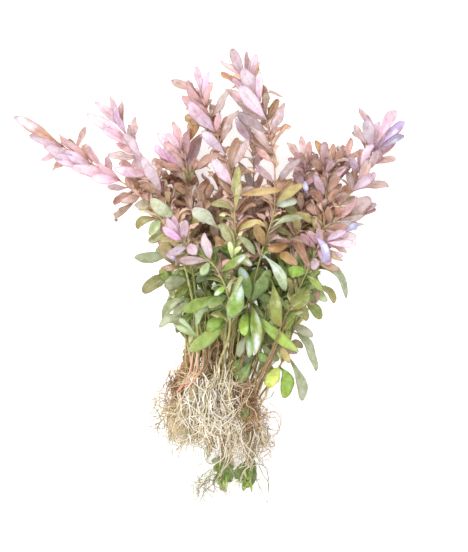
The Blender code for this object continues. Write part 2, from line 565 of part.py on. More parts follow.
class Leaf:
    """A blade from a stem to a tip: its middle line is a quadratic curve, its section a flat diamond."""

    def __init__(self, stem, s, tone, tip, control, width, facing, front=True, thickness=LEAF_THICKNESS):
        self.stem = stem
        self.s = s
        self.tone = tone
        self.tip = Vector(tip)
        self.control = Vector(control)
        self.width = width
        self.facing = facing
        self.roll = 0.0
        self.front = front
        self.thickness = thickness
        self.heading = (self.control - stem.at(s)).normalized()
        self.corners = None
        self.trees = None
        self.places = (WIDEST,)

    def foot(self):
        return sum(self.corners, Vector()) / 4

    def middle(self, t):
        return bezier(self.foot(), self.control, self.tip, t)

    def directions(self, t):
        """The directions along, across and out of the upper face of the blade."""
        along = (self.middle(t + 0.02) - self.middle(t - 0.02)).normalized()
        above = (self.facing - along * self.facing.dot(along)).normalized()
        above = Matrix.Rotation(self.roll, 3, along) @ above
        return along, above.cross(along), above

    def section(self, t, share, extra=0.0):
        middle = self.middle(t)
        _, across, above = self.directions(t)
        half = across * (self.width * share / 2 + extra)
        thick = above * (self.thickness + extra)
        return [middle + half, middle + thick, middle - half, middle - thick]

    def outline(self, places, extra=0.0):
        """The foot's corners, a section at each place and the tip, with the corners in matching order."""
        sections = [self.section(t, share, extra) for t, share in places]
        foot = self.foot()
        first = self.middle(places[0][0])
        spread = [(c - foot).normalized() for c in self.corners]
        around = [(c - first).normalized() for c in sections[0]]
        shift = max(range(4), key=lambda k: sum(spread[(i + k) % 4].dot(around[i]) for i in range(4)))
        corners = [self.corners[(i + shift) % 4] for i in range(4)]
        tip = self.tip + (self.tip - self.middle(0.95)).normalized() * (2 * extra)
        return corners, sections, tip

    def loops(self, extra=0.0):
        """The foot's corners, the loops where the neck ends and where the blade does, and the tip."""
        corners, sections, tip = self.outline(self.places, extra)
        if len(sections) == 1:
            sections.insert(0, part_way(corners, sections[0], NECK_SHARE))
        return corners, sections, tip

    def test_trees(self):
        """Search trees of the neck and of the blade, a little larger than they are."""
        corners, (neck, shoulder), tip = self.loops(LEAF_MARGIN)
        ends = [(i + 4, (i + 1) % 4 + 4, 8) for i in range(4)]
        blade = BVHTree.FromPolygons(neck + shoulder + [tip], walls(4) + ends)
        return BVHTree.FromPolygons(corners + neck, walls(4)), blade

    def petiole_tree(self):
        """A search tree of the neck past the point where it has left the stem's surface."""
        corners, (neck, _), _ = self.loops()
        return BVHTree.FromPolygons(part_way(corners, neck, PETIOLE_SHARE) + neck, walls(4))

    def points(self, extra=0.0):
        corners, (neck, shoulder), tip = self.loops(extra)
        return corners + neck + shoulder + [tip]


def part_way(loop, other, share):
    return [a.lerp(b, share) for a, b in zip(loop, other)]


def walls(sides, first=0):
    """The faces between two loops of points, of which the first one's points start at a number."""
    found = []
    for i in range(sides):
        after = (i + 1) % sides
        found.append((first + i, first + after, first + sides + after, first + sides + i))
    return found


def upward(stem, s, foot, tip, width, length):
    """Which way a leaf's upper face looks: up, turned towards the shoot's tip where it is seen narrow."""
    grown = min(8.0, 0.22 * length + 1.5)
    turn = math.acos(min(1.0, width / max(grown, width))) * 0.8
    along = (tip - foot).normalized()
    aside = along.cross(UP).normalized()
    growth, _, _ = stem.frame(s)
    if aside.dot(growth) < 0:
        aside = -aside
    return UP * math.cos(turn) + aside * math.sin(turn), max(grown, width)


def drawn_leaf(stems, row):
    """The leaf of one row of LEAVES, on the nearest of its shoots."""
    tone, tip_x, tip_y, foot_x, foot_y, width, *through = row
    stem = min(stems, key=lambda candidate: candidate.nearest(foot_x, foot_y)[1])
    s, _ = stem.nearest(foot_x, foot_y)
    start = stem.at(s)
    foot = Vector((foot_x, foot_y, start.z))
    run = math.hypot(tip_x - foot_x, tip_y - foot_y)
    tip = Vector((tip_x, tip_y, start.z + TONES[tone][1] * run / 25))
    facing, grown = upward(stem, s, foot, tip, width, run)
    if through:
        control = 2 * Vector((*through, 0)) - 0.5 * (Vector((start.x, start.y, 0)) + tip)
        control.z = (start.z + tip.z) / 2 + 0.12 * run
    else:
        control = foot.lerp(tip, 0.36)
        control.z += 0.1 * run
    leaf = Leaf(stem, s, tone, tip, control, grown, facing)
    if through or run > LONG_LEAF:
        leaf.places = (NECK, SHOULDER)
    return leaf


def whorl_leaves(stem, row):
    low_tone, high_tone = row[1], row[0]
    start, end, gap, length = row[2] * stem.length, row[3] * stem.length, row[4], row[5]
    found = []
    s, turn = start, 0.6
    while s < end - 1:
        share = (s - start) / (end - start)
        for k in range(WHORL_SIZE):
            angle = turn + 2 * math.pi * k / WHORL_SIZE
            size = length * (0.85 + 0.25 * math.sin(3.1 * k + 1.7 * s))
            tone = high_tone if share > 0.45 else low_tone
            found.append(spread_leaf(stem, s, tone, angle, size, 48 - 18 * share))
        s += gap * (1.1 - 0.35 * share)
        turn += GOLDEN_ANGLE
    return found


def back_leaves(stem):
    """Two leaves at a time on the far side of a shoot's leafy part."""
    found = []
    for i, back in enumerate((7, 20, 36)):
        s = stem.length - back
        tone = "rosy" if back < 16 else "brown"
        for side in (-1, 1):
            angle = -math.pi / 2 + side * (0.35 + 0.25 * (i % 2))
            found.append(spread_leaf(stem, s, tone, angle, 17 + 2 * (i % 3), 42, front=False))
    return found


def spread_leaf(stem, s, tone, angle, size, spread, front=True):
    """A leaf that leaves the stem at an angle around it, and so many degrees away from its direction."""
    along, across, above = stem.frame(s)
    out = across * math.cos(angle) + above * math.sin(angle)
    start = stem.at(s)
    lean = math.radians(spread)
    tip = start + (along * math.cos(lean) + out * math.sin(lean)) * size
    tip.z = max(tip.z, SURFACE + 1.5)
    wide = math.radians(spread + 22)
    control = start + (along * math.cos(wide) + out * math.sin(wide)) * (size * 0.45)
    control.z = max(control.z, SURFACE + 2.5)
    facing = (along * 0.8 - out * 0.35 + UP * 0.45).normalized()
    return Leaf(stem, s, tone, tip, control, min(8.0, 0.24 * size + 1.2), facing, front=front)


def finger(lobe, row):
    """A tapering root, or a frond of a clump, that a lobe reaches out with."""
    tip_x, tip_y, tip_z, foot_x, foot_y, width = row
    s, _ = lobe.nearest(foot_x, foot_y)
    start = lobe.at(s)
    tip = Vector((tip_x, tip_y, tip_z))
    control = start.lerp(tip, 0.45)
    control.z = max(control.z, width)
    found = Leaf(lobe, s, lobe.tone, tip, control, width, UP, thickness=width / 2)
    found.places = ROOT_PLACES
    return found


def in_view_gap(point):
    """Whether a leaf that fills the depth would show there in a gap, or past the edge of the bunch."""
    for (y, left, right), (next_y, next_left, next_right) in zip(EDGES, EDGES[1:]):
        if y <= point.y < next_y:
            share = (point.y - y) / (next_y - y)
            if not left + (next_left - left) * share < point.x < right + (next_right - right) * share:
                return True
    return any(((point.x - x) / w) ** 2 + ((point.y - y) / h) ** 2 < 1 for x, y, w, h in GAPS)


class Space:
    """What is already in place, and whether a new leaf would be clear of it."""

    def __init__(self, stems):
        self.stems = stems
        self.placed = []
        for stem in stems:
            stem.tree = stem_tree(stem)

    def clear(self, leaf):
        if min(p.z for p in leaf.points()) < SURFACE:
            return False
        neck, blade = leaf.test_trees()
        if leaf.stem.tree.overlap(leaf.petiole_tree()):
            return False
        for stem in self.stems:
            if stem.tree.overlap(blade) or (stem is not leaf.stem and stem.tree.overlap(neck)):
                return False
        for other in self.placed:
            if not boxes_meet(leaf.box, other.box):
                continue
            kin = other.stem is leaf.stem and abs(other.band["s"] - leaf.band["s"]) < BAND + BARE_STRETCH
            other_neck, other_blade = other.trees
            if blade.overlap(other_blade) or blade.overlap(other_neck) or neck.overlap(other_blade):
                return False
            if not kin and neck.overlap(other_neck):
                return False
        leaf.trees = (neck, blade)
        return True

    def place(self, leaf, lifts, rolls):
        """Tries the leaf as it is, then raised, lowered or turned, and keeps the first that is clear."""
        tip, control = leaf.tip.copy(), leaf.control.copy()
        for roll in rolls:
            for lift in lifts:
                leaf.tip = tip + UP * lift
                leaf.control = control + UP * (lift * 0.45)
                leaf.roll = math.radians(roll)
                leaf.box = leaf_box(leaf)
                if self.clear(leaf):
                    self.placed.append(leaf)
                    return True
        return False


def leaf_box(leaf):
    points = leaf.points(LEAF_MARGIN)
    return [min(p[i] for p in points) for i in range(3)] + [max(p[i] for p in points) for i in range(3)]


def boxes_meet(a, b):
    return all(a[i] <= b[i + 3] and b[i] <= a[i + 3] for i in range(3))


def stem_tree(stem):
    points, faces = [], []
    for _, start, end in stretches(stem):
        stations = station_list(stem, start, end)
        for i, s in enumerate(stations):
            if i > 0:
                faces += walls(stem.sides, len(points) - stem.sides)
            points += stem.ring(s)
    return BVHTree.FromPolygons(points, faces)


FRONT_LIFTS = [step * side for step in range(0, 31) for side in ((1, -1) if step else (1,))]
FRONT_ROLLS = (0, 22, -22, 45, -45)
FILL_LIFTS = (0, 3, -3, 6, -6, 9, 12)
FILL_ROLLS = (0, 30, -30, 60, -60)


def grow():
    """All the stems with their leaves in place."""
    stems = {name: Stem(name, points, 3 if name in WHORLS else 4) for name, points in ROUTES.items()}
    for name, (points, radii, flat, tone) in LOBES.items():
        stems[name] = Stem(name, points, LOBE_SIDES, radii, flat, tone)
    wanted = {name: [] for name in stems}
    for name, rows in FINGERS.items():
        wanted[name] = [finger(stems[name], row) for row in rows]
    for names, rows in LEAVES.items():
        for row in rows:
            leaf = drawn_leaf([stems[name] for name in names], row)
            wanted[leaf.stem.name].append(leaf)
    for name, row in WHORLS.items():
        wanted[name] += whorl_leaves(stems[name], row)
    for name in BACK_LEAVES:
        wanted[name] += back_leaves(stems[name])
    for name, leaves in wanted.items():
        wanted[name] = [leaf for leaf in sorted(leaves, key=lambda leaf: leaf.s) if stems[name].seat(leaf)]
    space = Space(list(stems.values()))
    for name, leaves in wanted.items():
        for leaf in leaves:
            if name not in WHORLS and leaf.front:
                leaf.kept = space.place(leaf, FRONT_LIFTS, FRONT_ROLLS)
    for name, leaves in wanted.items():
        for leaf in leaves:
            if name in WHORLS or not leaf.front:
                shows = in_view_gap(leaf.middle(0.6)) or in_view_gap(leaf.tip)
                leaf.kept = not shows and space.place(leaf, FILL_LIFTS, FILL_ROLLS)
    return stems, wanted


class Solid:
    """Points and faces of one object, with a tone for each face."""

    def __init__(self, name):
        self.name = name
        self.points = []
        self.faces = []
        self.tones = []

    def add(self, points):
        first = len(self.points)
        self.points += points
        return list(range(first, first + len(points)))

    def face(self, corners, tone):
        self.faces.append(tuple(corners))
        self.tones.append(tone)

    def add_tube(self, stem, start, end):
        """The stem from start to end, with the leaves of its bands there."""
        stations = station_list(stem, start, end)
        rings = [self.add(stem.ring(s)) for s in stations]
        held = {round(band["s"], 4): band["leaves"] for band in stem.bands}
        self.face(rings[0][::-1], stem.tone)
        self.face(rings[-1], stem.tone)
        for i, s in enumerate(stations[:-1]):
            leaves = held.get(round(s, 4), {})
            for side in range(stem.sides):
                after = (side + 1) % stem.sides
                corners = [rings[i][side], rings[i][after], rings[i + 1][after], rings[i + 1][side]]
                leaf = leaves.get(side)
                if leaf is not None and leaf.kept:
                    self.add_leaf(leaf, corners)
                else:
                    self.face(corners, stem.tone)

    def add_leaf(self, leaf, corners):
        starts, sections, tip = leaf.outline(leaf.places)
        order = [leaf.corners.index(start) for start in starts]
        last = [corners[i] for i in order]
        for points in sections:
            ring = self.add(points)
            for i in range(4):
                self.face((last[i], last[(i + 1) % 4], ring[(i + 1) % 4], ring[i]), leaf.tone)
            last = ring
        (end,) = self.add([tip])
        for i in range(4):
            self.face((last[i], last[(i + 1) % 4], end), leaf.tone)

    def make(self, middle):
        mesh = bpy.data.meshes.new(self.name)
        mesh.from_pydata([(p - middle) * MM for p in self.points], [], self.faces)
        used = sorted(set(self.tones))
        for tone in used:
            mesh.materials.append(tone_material(tone))
        for polygon, tone in zip(mesh.polygons, self.tones):
            polygon.material_index = used.index(tone)
        made = bpy.data.objects.new(self.name, mesh)
        bpy.context.scene.collection.objects.link(made)
        return made


def station_list(stem, start, end):
    """Where the tube has a ring: at both ends of each band, and no further apart than its step between."""
    fixed = [start]
    for band in stem.bands:
        if band["s"] < start or band["s"] + BAND > end:
            continue
        if band["s"] > fixed[-1] + 0.01:
            fixed.append(band["s"])
        fixed.append(band["s"] + BAND)
    if end > fixed[-1] + 0.01:
        fixed.append(end)
    found = [fixed[0]]
    for a, b in zip(fixed, fixed[1:]):
        count = math.ceil((b - a) / stem.step)
        found += [a + (b - a) * (i + 1) / count for i in range(count)]
    return found


def tone_material(tone):
    found = bpy.data.materials.get(tone)
    if found is None:
        found = bpy.data.materials.new(tone)
        found.use_nodes = True
        shader = found.node_tree.nodes["Principled BSDF"]
        shader.inputs["Base Color"].default_value = (*TONES[tone][0], 1)
        shader.inputs["Roughness"].default_value = 0.5
        shader.inputs["Metallic"].default_value = 0.0
    return found


def crown_start(stem):
    """Where a shoot's crown begins: near the end of the bare stretch that suits the crown's length best."""
    length = SHORT_CROWN if stem.name in LOW_SHOOTS else CROWN_LENGTH
    goal = stem.length - length
    edges = [0] + [s for band in stem.bands for s in (band["s"], band["s"] + BAND)] + [stem.length]
    bare = [(a, b) for a, b in zip(edges[::2], edges[1::2]) if b - a > BARE_STRETCH]
    a, b = min(bare, key=lambda edge: abs(edge[1] - goal) - 2 * min(edge[1] - edge[0], LONG_STRETCH))
    return a + (b - a) * 0.75


def stretches(stem):
    """The name, start and end of each solid of a stem: a lobe is one, a shoot its stem and its crown."""
    if stem.name in LOBES:
        return [(stem.name, 0, stem.length)]
    split = crown_start(stem)
    return [("stem_" + stem.name, 0, split - NODE_GAP / 2),
            ("crown_" + stem.name, split + NODE_GAP / 2, stem.length)]


def solids_of(stem):
    found = []
    for name, start, end in stretches(stem):
        solid = Solid(name)
        solid.add_tube(stem, start, end)
        found.append(solid)
    return found


def build():
    for thing in list(bpy.data.objects):
        bpy.data.objects.remove(thing)
    stems, _ = grow()
    solids = [solid for stem in stems.values() for solid in solids_of(stem)]
    points = [p for solid in solids for p in solid.points]
    low = Vector([min(p[i] for p in points) for i in range(3)])
    high = Vector([max(p[i] for p in points) for i in range(3)])
    middle = Vector(((low.x + high.x) / 2, (low.y + high.y) / 2, low.z))
    for solid in solids:
        solid.make(middle)


if __name__ == "__main__":
    build()
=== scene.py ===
"""The looks of a harvested bunch of Ludwigia inclinata that lies on a pale surface, seen from above.

The shoots grow towards +Y and fan out from a beard of roots at -Y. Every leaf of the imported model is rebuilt
as a thin curved blade in its place. Distances are millimetres in the layout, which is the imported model's
frame moved by MIDDLE.
"""

import json
import math

import bpy
import numpy as np
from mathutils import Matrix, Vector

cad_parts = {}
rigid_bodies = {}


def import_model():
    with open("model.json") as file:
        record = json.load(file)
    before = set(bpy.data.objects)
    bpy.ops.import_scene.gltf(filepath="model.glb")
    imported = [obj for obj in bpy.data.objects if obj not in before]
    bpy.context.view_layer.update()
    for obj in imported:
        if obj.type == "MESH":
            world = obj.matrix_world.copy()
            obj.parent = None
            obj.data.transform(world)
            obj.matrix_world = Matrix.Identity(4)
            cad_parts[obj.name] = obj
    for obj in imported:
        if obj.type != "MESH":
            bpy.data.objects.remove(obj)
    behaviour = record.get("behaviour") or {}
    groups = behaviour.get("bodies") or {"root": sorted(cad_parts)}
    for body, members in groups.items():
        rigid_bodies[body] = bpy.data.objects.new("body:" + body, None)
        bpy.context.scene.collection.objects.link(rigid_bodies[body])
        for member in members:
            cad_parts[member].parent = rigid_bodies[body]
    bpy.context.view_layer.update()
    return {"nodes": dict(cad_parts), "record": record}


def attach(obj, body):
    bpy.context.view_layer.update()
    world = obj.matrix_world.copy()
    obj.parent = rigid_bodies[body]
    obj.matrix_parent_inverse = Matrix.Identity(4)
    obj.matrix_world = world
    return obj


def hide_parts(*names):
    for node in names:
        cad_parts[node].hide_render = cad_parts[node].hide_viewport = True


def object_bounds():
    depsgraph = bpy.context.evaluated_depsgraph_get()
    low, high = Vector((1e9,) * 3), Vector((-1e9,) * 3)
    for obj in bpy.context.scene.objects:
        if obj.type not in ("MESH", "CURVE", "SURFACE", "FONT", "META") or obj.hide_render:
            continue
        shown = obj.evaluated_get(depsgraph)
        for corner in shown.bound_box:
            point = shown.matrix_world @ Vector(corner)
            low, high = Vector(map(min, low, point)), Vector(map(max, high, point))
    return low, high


for thing in list(bpy.data.objects):
    bpy.data.objects.remove(thing)
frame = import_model()

MM = 0.001
MIDDLE = np.array((0.25, 0.0, 0.0))
UP = np.array((0.0, 0.0, 1.0))

# The middle of the photograph on the layout, and the height of the ground that it shows there.
VIEW_MIDDLE = (16.0, 4.0, 45.0)
VIEW_HEIGHT = 368.0
CAMERA_AWAY = 2500.0
SENSOR = 36.0

# Colours of each tone of leaf, of 0 to 255 as seen: at the stalk, over the blade and at the tip.
TONES = {
    "lilac": ((210, 159, 177), (220, 195, 212), (203, 187, 204)),
    "pink": ((213, 153, 163), (225, 197, 214), (217, 195, 216)),
    "hotpink": ((206, 146, 178), (214, 168, 200), (210, 190, 214)),
    "blush": ((214, 175, 189), (233, 213, 229), (226, 215, 231)),
    "smoky": ((200, 158, 177), (206, 183, 201), (170, 152, 160)),
    "rosy": ((190, 144, 137), (204, 164, 169), (187, 156, 165)),
    "salmon": ((195, 148, 135), (213, 174, 166), (195, 161, 164)),
    "mauve": ((184, 144, 127), (200, 173, 178), (182, 167, 174)),
    "plum": ((168, 131, 118), (189, 154, 157), (161, 138, 144)),
    "brown": ((150, 114, 88), (174, 137, 111), (182, 141, 119)),
    "rust": ((164, 126, 108), (191, 152, 136), (179, 144, 131)),
    "amber": ((166, 126, 77), (190, 155, 104), (165, 130, 87)),
    "tan": ((151, 122, 96), (177, 152, 128), (166, 139, 118)),
    "cream": ((189, 186, 144), (213, 206, 181), (203, 198, 181)),
    "olive": ((146, 146, 91), (171, 168, 108), (159, 146, 100)),
    "gold": ((163, 150, 90), (197, 180, 121), (185, 159, 104)),
    "yellow": ((199, 210, 88), (230, 244, 122), (216, 227, 99)),
    "lime": ((113, 152, 50), (149, 182, 71), (165, 186, 91)),
    "green": ((104, 140, 62), (144, 170, 80), (156, 168, 90)),
    "deep": ((94, 117, 54), (119, 140, 69), (117, 130, 71)),
    "grey": ((129, 148, 98), (161, 173, 133), (172, 175, 149)),
    "mint": ((152, 182, 116), (196, 212, 164), (210, 218, 186)),
    "frost": ((176, 196, 150), (212, 224, 196), (220, 226, 208)),
    # The bluish-white stalk or tip of the next three tones is painted sheen, light reflected off a damp blade,
    # over the leaf's own green.
    "dewy": ((214, 228, 232), (130, 156, 54), (120, 146, 46)),
    "washed": ((214, 230, 226), (192, 212, 168), (156, 170, 98)),
    "glaze": ((122, 146, 60), (140, 168, 66), (222, 236, 250)),
    "pea": ((114, 124, 50), (142, 146, 68), (135, 132, 64)),
    "neon": ((196, 214, 128), (216, 236, 156), (222, 240, 190)),
    "scorched": ((180, 144, 126), (198, 158, 138), (204, 202, 226)),
    # The violet tone's blue is partly painted sheen, light reflected off damp leaves, over their own lilac.
    "violet": ((200, 158, 190), (186, 176, 216), (176, 180, 220)),
    "husk": ((168, 132, 112), (192, 156, 138), (177, 144, 127)),
    "dusk": ((192, 150, 132), (212, 174, 160), (196, 160, 152)),
    "leather": ((168, 130, 99), (189, 154, 122), (173, 137, 110)),
    "moss": ((172, 172, 112), (196, 190, 132), (188, 178, 126)),
    "fern": ((134, 158, 82), (160, 178, 100), (154, 174, 102)),
    "sage": ((154, 168, 116), (184, 194, 144), (182, 190, 148)),
    "sand": ((196, 168, 130), (216, 192, 156), (204, 178, 144)),
}

# Along a blade with a painted sheen, light reflected off a damp leaf: where its first colour has faded, where
# its last one begins and where the painted sheen spot is.
PAINTED_HIGHLIGHT_STOPS = {
    "dewy": (0.5, 0.95, 0.35), "glaze": (0.3, 0.6, 0.8), "washed": (0.5, 0.75, 0.45),
    "scorched": (0.3, 0.4, 0.75), "violet": (0.3, 0.5, 0.5),
}
# The colour of the painted sheen spot: bluish-white light reflected off a damp blade.
PAINTED_SHEEN = (228, 238, 248)

# How far the leaves of a tone are twisted, folded and waved. Leaves of the other tones are flatter.
CRUMPLED = {
    "brown": 1.3, "rust": 1.3, "plum": 1.3, "tan": 1.3, "husk": 1.4, "dusk": 1.3, "leather": 1.4, "moss": 1.0,
    "sand": 1.2, "rosy": 0.8, "mauve": 0.6, "salmon": 0.8, "amber": 0.6, "violet": 0.6,
}
FLATTER = 0.4

# How much paler the hidden leaves are tinted, as painted light against the shade that they lie in, since
# little
# light gets down to them: the green ones, and the ones of a crumpled tone. They are palest at DEEPEST and
# below, and as they are at SHALLOW and above.
DEEP_GAIN = np.array((1.24, 1.27, 1.3))
DEEP_BROWN_GAIN = np.array((1.28, 1.35, 1.38))
DEEPEST, SHALLOW = 44, 64
UNDERSIDE = np.array((0.95, 0.94, 0.94))

# Where the leaves of each tone have their tips, as (x, y) seen from above.
LEAF_TIPS = {
    "lilac": [(-52, 89), (17, 110), (110, 74), (-122, 99), (-77, 121), (-45, 82), (-36, 102), (-9.5, 145),
        (-1.5, 141), (-15, 120), (31, 153), (33, 141), (107, 112), (114, 108), (131, 107), (118, 100),
        (97, 25), (90, 34), (80, 12), (68, 8), (-29, 42), (-9, 18), (-28, 18)],
    "pink": [(15, 137), (125, 92), (93, 84), (-112.5, 91), (-105, 84), (-93, 77), (-80, 70), (-98, 88),
        (-83, 113), (-65, 118), (-64, 76), (-72, 103), (-29, 100), (90, 77), (91, 78), (131, 98), (88, 17),
        (-16, 41), (-24, 44)],
    "hotpink": [(-31, 36)],
    "rosy": [(83, 53), (2, 134), (-114, 82), (-84, 93), (-70, 84), (-76, 80), (-63, 93), (-54, 106),
        (-31, 94), (-24.5, 108), (-14, 104), (-19, 124), (6, 113), (-17, 131), (10.5, 131), (57, 87),
        (72, 86), (56, 76), (117, 88), (110, 48), (99, 56), (65, 34), (60, 32)],
    "salmon": [(-60, 54), (-38, 70), (6, 148), (30, 90), (33, 104), (52, 94), (67, 94), (42, 29),
        (38, 23.5), (59, 11), (94, 97), (124, 103), (125, 82.5), (107, 83), (119, 63), (90, 33)],
    "mauve": [(71, 36), (92, 74), (-5, 32), (-85.5, 105), (-69, 64), (-67, 125), (-59, 123), (-51, 111),
        (-69, 86), (-8, 99), (-27, 88), (-27, 136.5), (11, 130), (17, 116), (26, 95), (26, 155), (18, 113),
        (25, 104), (50, 120), (30, 78), (60, 83), (18, 121), (24, 108), (34, 90), (61, 98), (52, 83),
        (69, 72), (86, 92), (100, 117), (95, 100), (107, 56), (111, 52), (103, 43), (103, 38), (-20, 14)],
    "plum": [(77, 94), (-14, 136), (92, 21)],
    "brown": [(-33, 9), (86, 62), (-96, 97), (-86, 92), (-64, 53), (-48, 67), (-24, 66), (-26, 57),
        (-2, 70), (12, 111), (18, 96), (6, 72), (25, 98), (46, 123), (7, 142), (20, 82), (18, 66), (54, 66),
        (70, 53), (88, 90), (83, 92), (66, 85), (68, 62), (84, 50), (72, 70), (62, 46), (78, 50)],
    "rust": [(-9, 75), (-108, 77), (-56, 71), (-9, 86), (-37, 79), (-28, 82), (36, 74), (71, 76), (70, 65),
        (86, 72), (64, 52), (56, 28), (101, 90), (94, 80), (88, 66), (74, 28), (92, 50), (92, 36),
        (58, -48)],
    "amber": [(-18, 109), (71, 95)],
    "tan": [(-69, 43), (38, 128), (24, 54), (81, 84), (97, 57), (87, 12), (86, 7.5), (-24, -18)],
    "cream": [(-50, 51)],
    "olive": [(20, 66), (-33, 28), (-48, 35), (-41, 27), (-23, 66), (19, 77), (0, 51.5), (8, 39), (49, 52),
        (82, 46), (68, 44), (-45, -7), (45, -30), (43, -61), (58, -15), (82, -14), (64, -26), (62, -44)],
    "gold": [(62, 65), (15, 33), (37, 38), (38, 37), (57, 46), (53, -54)],
    "yellow": [(37.5, -70)],
    "lime": [(34, 8), (-22, -5), (-18, -20), (-1, -33), (14, 12), (58, -47), (23, -35), (38, -53),
        (50, -32), (49, -77.5)],
    "green": [(34, 10), (64, 4), (48, 22), (66, -8), (48, -30), (52, 10), (50, -22), (-34, 8), (-12, -2),
        (-14, -46), (0, -13), (13, -24), (52, 5), (74, -6), (73, -25)],
    "deep": [(40, 8), (40, -16), (8, 22), (38, -4), (40, -38), (28, -26), (-29, -14), (-22, -9), (-2, -18),
        (45, -44), (14, -67), (34, -12), (70, -14)],
    "grey": [(-40, 31), (-10, -6), (-6, 5), (-50, 14), (-36, 21), (62, 42), (-30, -3), (-31, -25),
        (-25, -24), (-22, -34), (-9, 0), (46, -53), (16, -59), (19, -50), (90, -11), (68.5, -36), (68, -59),
        (63, -80)],
    "mint": [(-34, -30), (-24, -24), (-8, -30), (1, -4), (77, -13)],
    "glaze": [(24, 18), (3, -9), (28, 11), (20, 10), (31, -47), (26, -50)],
    "scorched": [(-130.5, 111.5)],
    "smoky": [(15, 156)],
    "blush": [(22, 143), (20, 131), (-5, 101), (2, 82), (97, 30.5)],
    "frost": [(-39, 55), (58, 54)],
}

# Each shoot's route from its tip to its foot, as (x, y, z) points that a smooth curve runs through.
ROUTES = {
    "far_left": [(-104, 94, 13), (-88, 84, 17), (-70, 74, 24), (-55, 64, 32), (-42, 53, 41), (-27, 33, 50),
        (-17, 10, 53), (-13, -8, 52), (-9, -28, 50), (-9, -50, 46), (-14, -76, 40)],
    "upper_left": [(-60, 105, 24), (-52, 92, 29), (-44, 78, 35), (-28, 50, 43), (-18, 30, 46),
        (-12, 10, 46), (-9, -10, 45), (-7, -25, 44), (-4, -50, 40), (-8, -76, 33)],
    "mid_left": [(-20, 92, 22), (-16, 80, 25), (-15, 69, 28), (-12, 50, 31), (-12, 31, 33), (-6, 5, 35),
        (0, -25, 36), (0, -50, 34), (-2, -76, 28)],
    "tall_middle": [(-7, 128, 22), (-2, 116, 28), (3, 103, 34), (10, 86, 42), (15, 70, 49), (17, 46, 55),
        (17, 20, 58), (13, -10, 57), (11, -30, 55), (10, -52, 51), (6, -76, 45)],
    "tall_right": [(23, 139, 22), (36, 115, 28), (40, 100, 33), (43.5, 80, 40), (43.5, 52, 47),
        (40, 37, 50), (34, 18, 52), (28, -6, 53), (25, -30, 52), (20, -55, 46), (14, -76, 38)],
    "slim_middle": [(28, 94, 26), (29, 80, 29), (29, 62, 32), (28, 45, 35), (24, 15, 38), (20, -15, 40),
        (14, -45, 38), (4, -76, 36)],
    "rosy_right": [(64, 80, 32), (63, 60, 36), (60, 40, 39), (56, 20, 41), (50, 0, 40), (42, -25, 37),
        (30, -50, 33), (20, -76, 28)],
    "brown_right": [(78, 78, 36), (77, 57, 42), (74, 42, 45), (70, 25, 47), (64, 5, 48), (56, -15, 48),
        (46, -38, 46), (34, -60, 40), (24, -78, 37)],
    "straw_right": [(91, 84, 22), (83, 70, 26), (75, 54, 31), (68, 30, 35), (60, 8, 36), (50, -18, 35),
        (38, -45, 31), (26, -76, 26)],
    "far_right": [(112, 96, 16), (106, 88, 20), (101, 72, 28), (96, 62, 34), (86, 50, 43), (76, 30, 51),
        (68, 10, 54), (59, -12, 54), (52, -30, 52), (42, -52, 47), (30, -78, 38)],
    "fan_right": [(92, 44, 46), (83, 40, 52), (76, 36, 56), (70, 22, 60), (64, 4, 60), (57, -14, 59),
        (49, -30, 56), (38, -55, 50), (28, -76, 41)],
    "pink_right": [(79, 27, 63), (72, 23, 66), (66, 12, 67), (60, -2, 66), (52, -18, 65), (42, -42, 61),
        (31, -70, 52)],
    "centre": [(-22, 32, 68), (-11, 21, 70), (0, 14, 70), (6, 7, 69), (11, -4, 68), (14, -18, 66),
        (12, -38, 60), (5, -58, 51), (0, -76, 45)],
    "low_right": [(60, -14, 40), (55, -34, 43), (50, -50, 41), (42, -64, 36), (33, -78, 30)],
    "low_middle": [(44, 4, 44), (38, -18, 45), (35, -38, 43), (28, -58, 38), (16, -78, 32)],
    "low_left": [(-27, 6, 36), (-22, -16, 38), (-16, -38, 39), (-12, -58, 36), (-14, -78, 31)],
    "under_far_left": [(-50, 66, 10), (-37, 50, 13), (-24, 28, 17), (-14, 0, 20), (-8, -30, 22),
        (-9, -78, 22)],
    "under_left": [(-24, 72, 9), (-14, 52, 12), (-8, 28, 16), (-2, -5, 22), (1, -40, 24), (-2, -78, 20)],
    "under_middle": [(6, 70, 9), (6, 48, 12), (8, 20, 18), (8, -15, 24), (7, -50, 27), (4, -78, 26)],
    "under_right": [(38, 66, 9), (34, 48, 12), (29, 25, 17), (21, -5, 23), (16, -40, 25), (10, -78, 22)],
    "under_inner_right": [(58, 62, 10), (53, 45, 13), (46, 22, 17), (38, -5, 22), (28, -40, 24),
        (16, -78, 20)],
    "under_far_right": [(86, 58, 9), (76, 43, 12), (63, 20, 17), (51, -5, 22), (38, -35, 24),
        (24, -78, 20)],
    "under_low_right": [(78, -2, 18), (64, -14, 24), (52, -34, 28), (40, -56, 28), (29, -78, 22)],
    "under_low_left": [(-27, -2, 12), (-21, -22, 16), (-15, -44, 18), (-13, -78, 16)],
}

# Gaps in the bunch through which the surface shows: (x, y, half width, half height).
GAPS = [
    (-4.5, 64, 5, 6.5), (-7, 86, 4, 9), (14, 99, 5, 6), (25, 88, 3, 5), (25, 71, 3, 7), (37, 74, 6, 10),
    (51, 82, 6, 13), (-26, 73, 2, 2), (86, 63, 4, 6), (-60, 30, 12, 12), (105, 20, 15, 20),
]

# The left and right edges of the bunch, as (y, left, right), which leaves that fill the depth keep inside.
EDGES = [
    (-60, -13, 44), (-45, -15, 54), (-35, -17, 57), (-25, -27, 62), (-10, -28, 74), (10, -35, 78),
    (20, -40, 78), (30, -38, 87), (45, -48, 86), (65, -58, 97), (75, -60, 99), (85, -32, 98),
    (110, -26, 98),
]

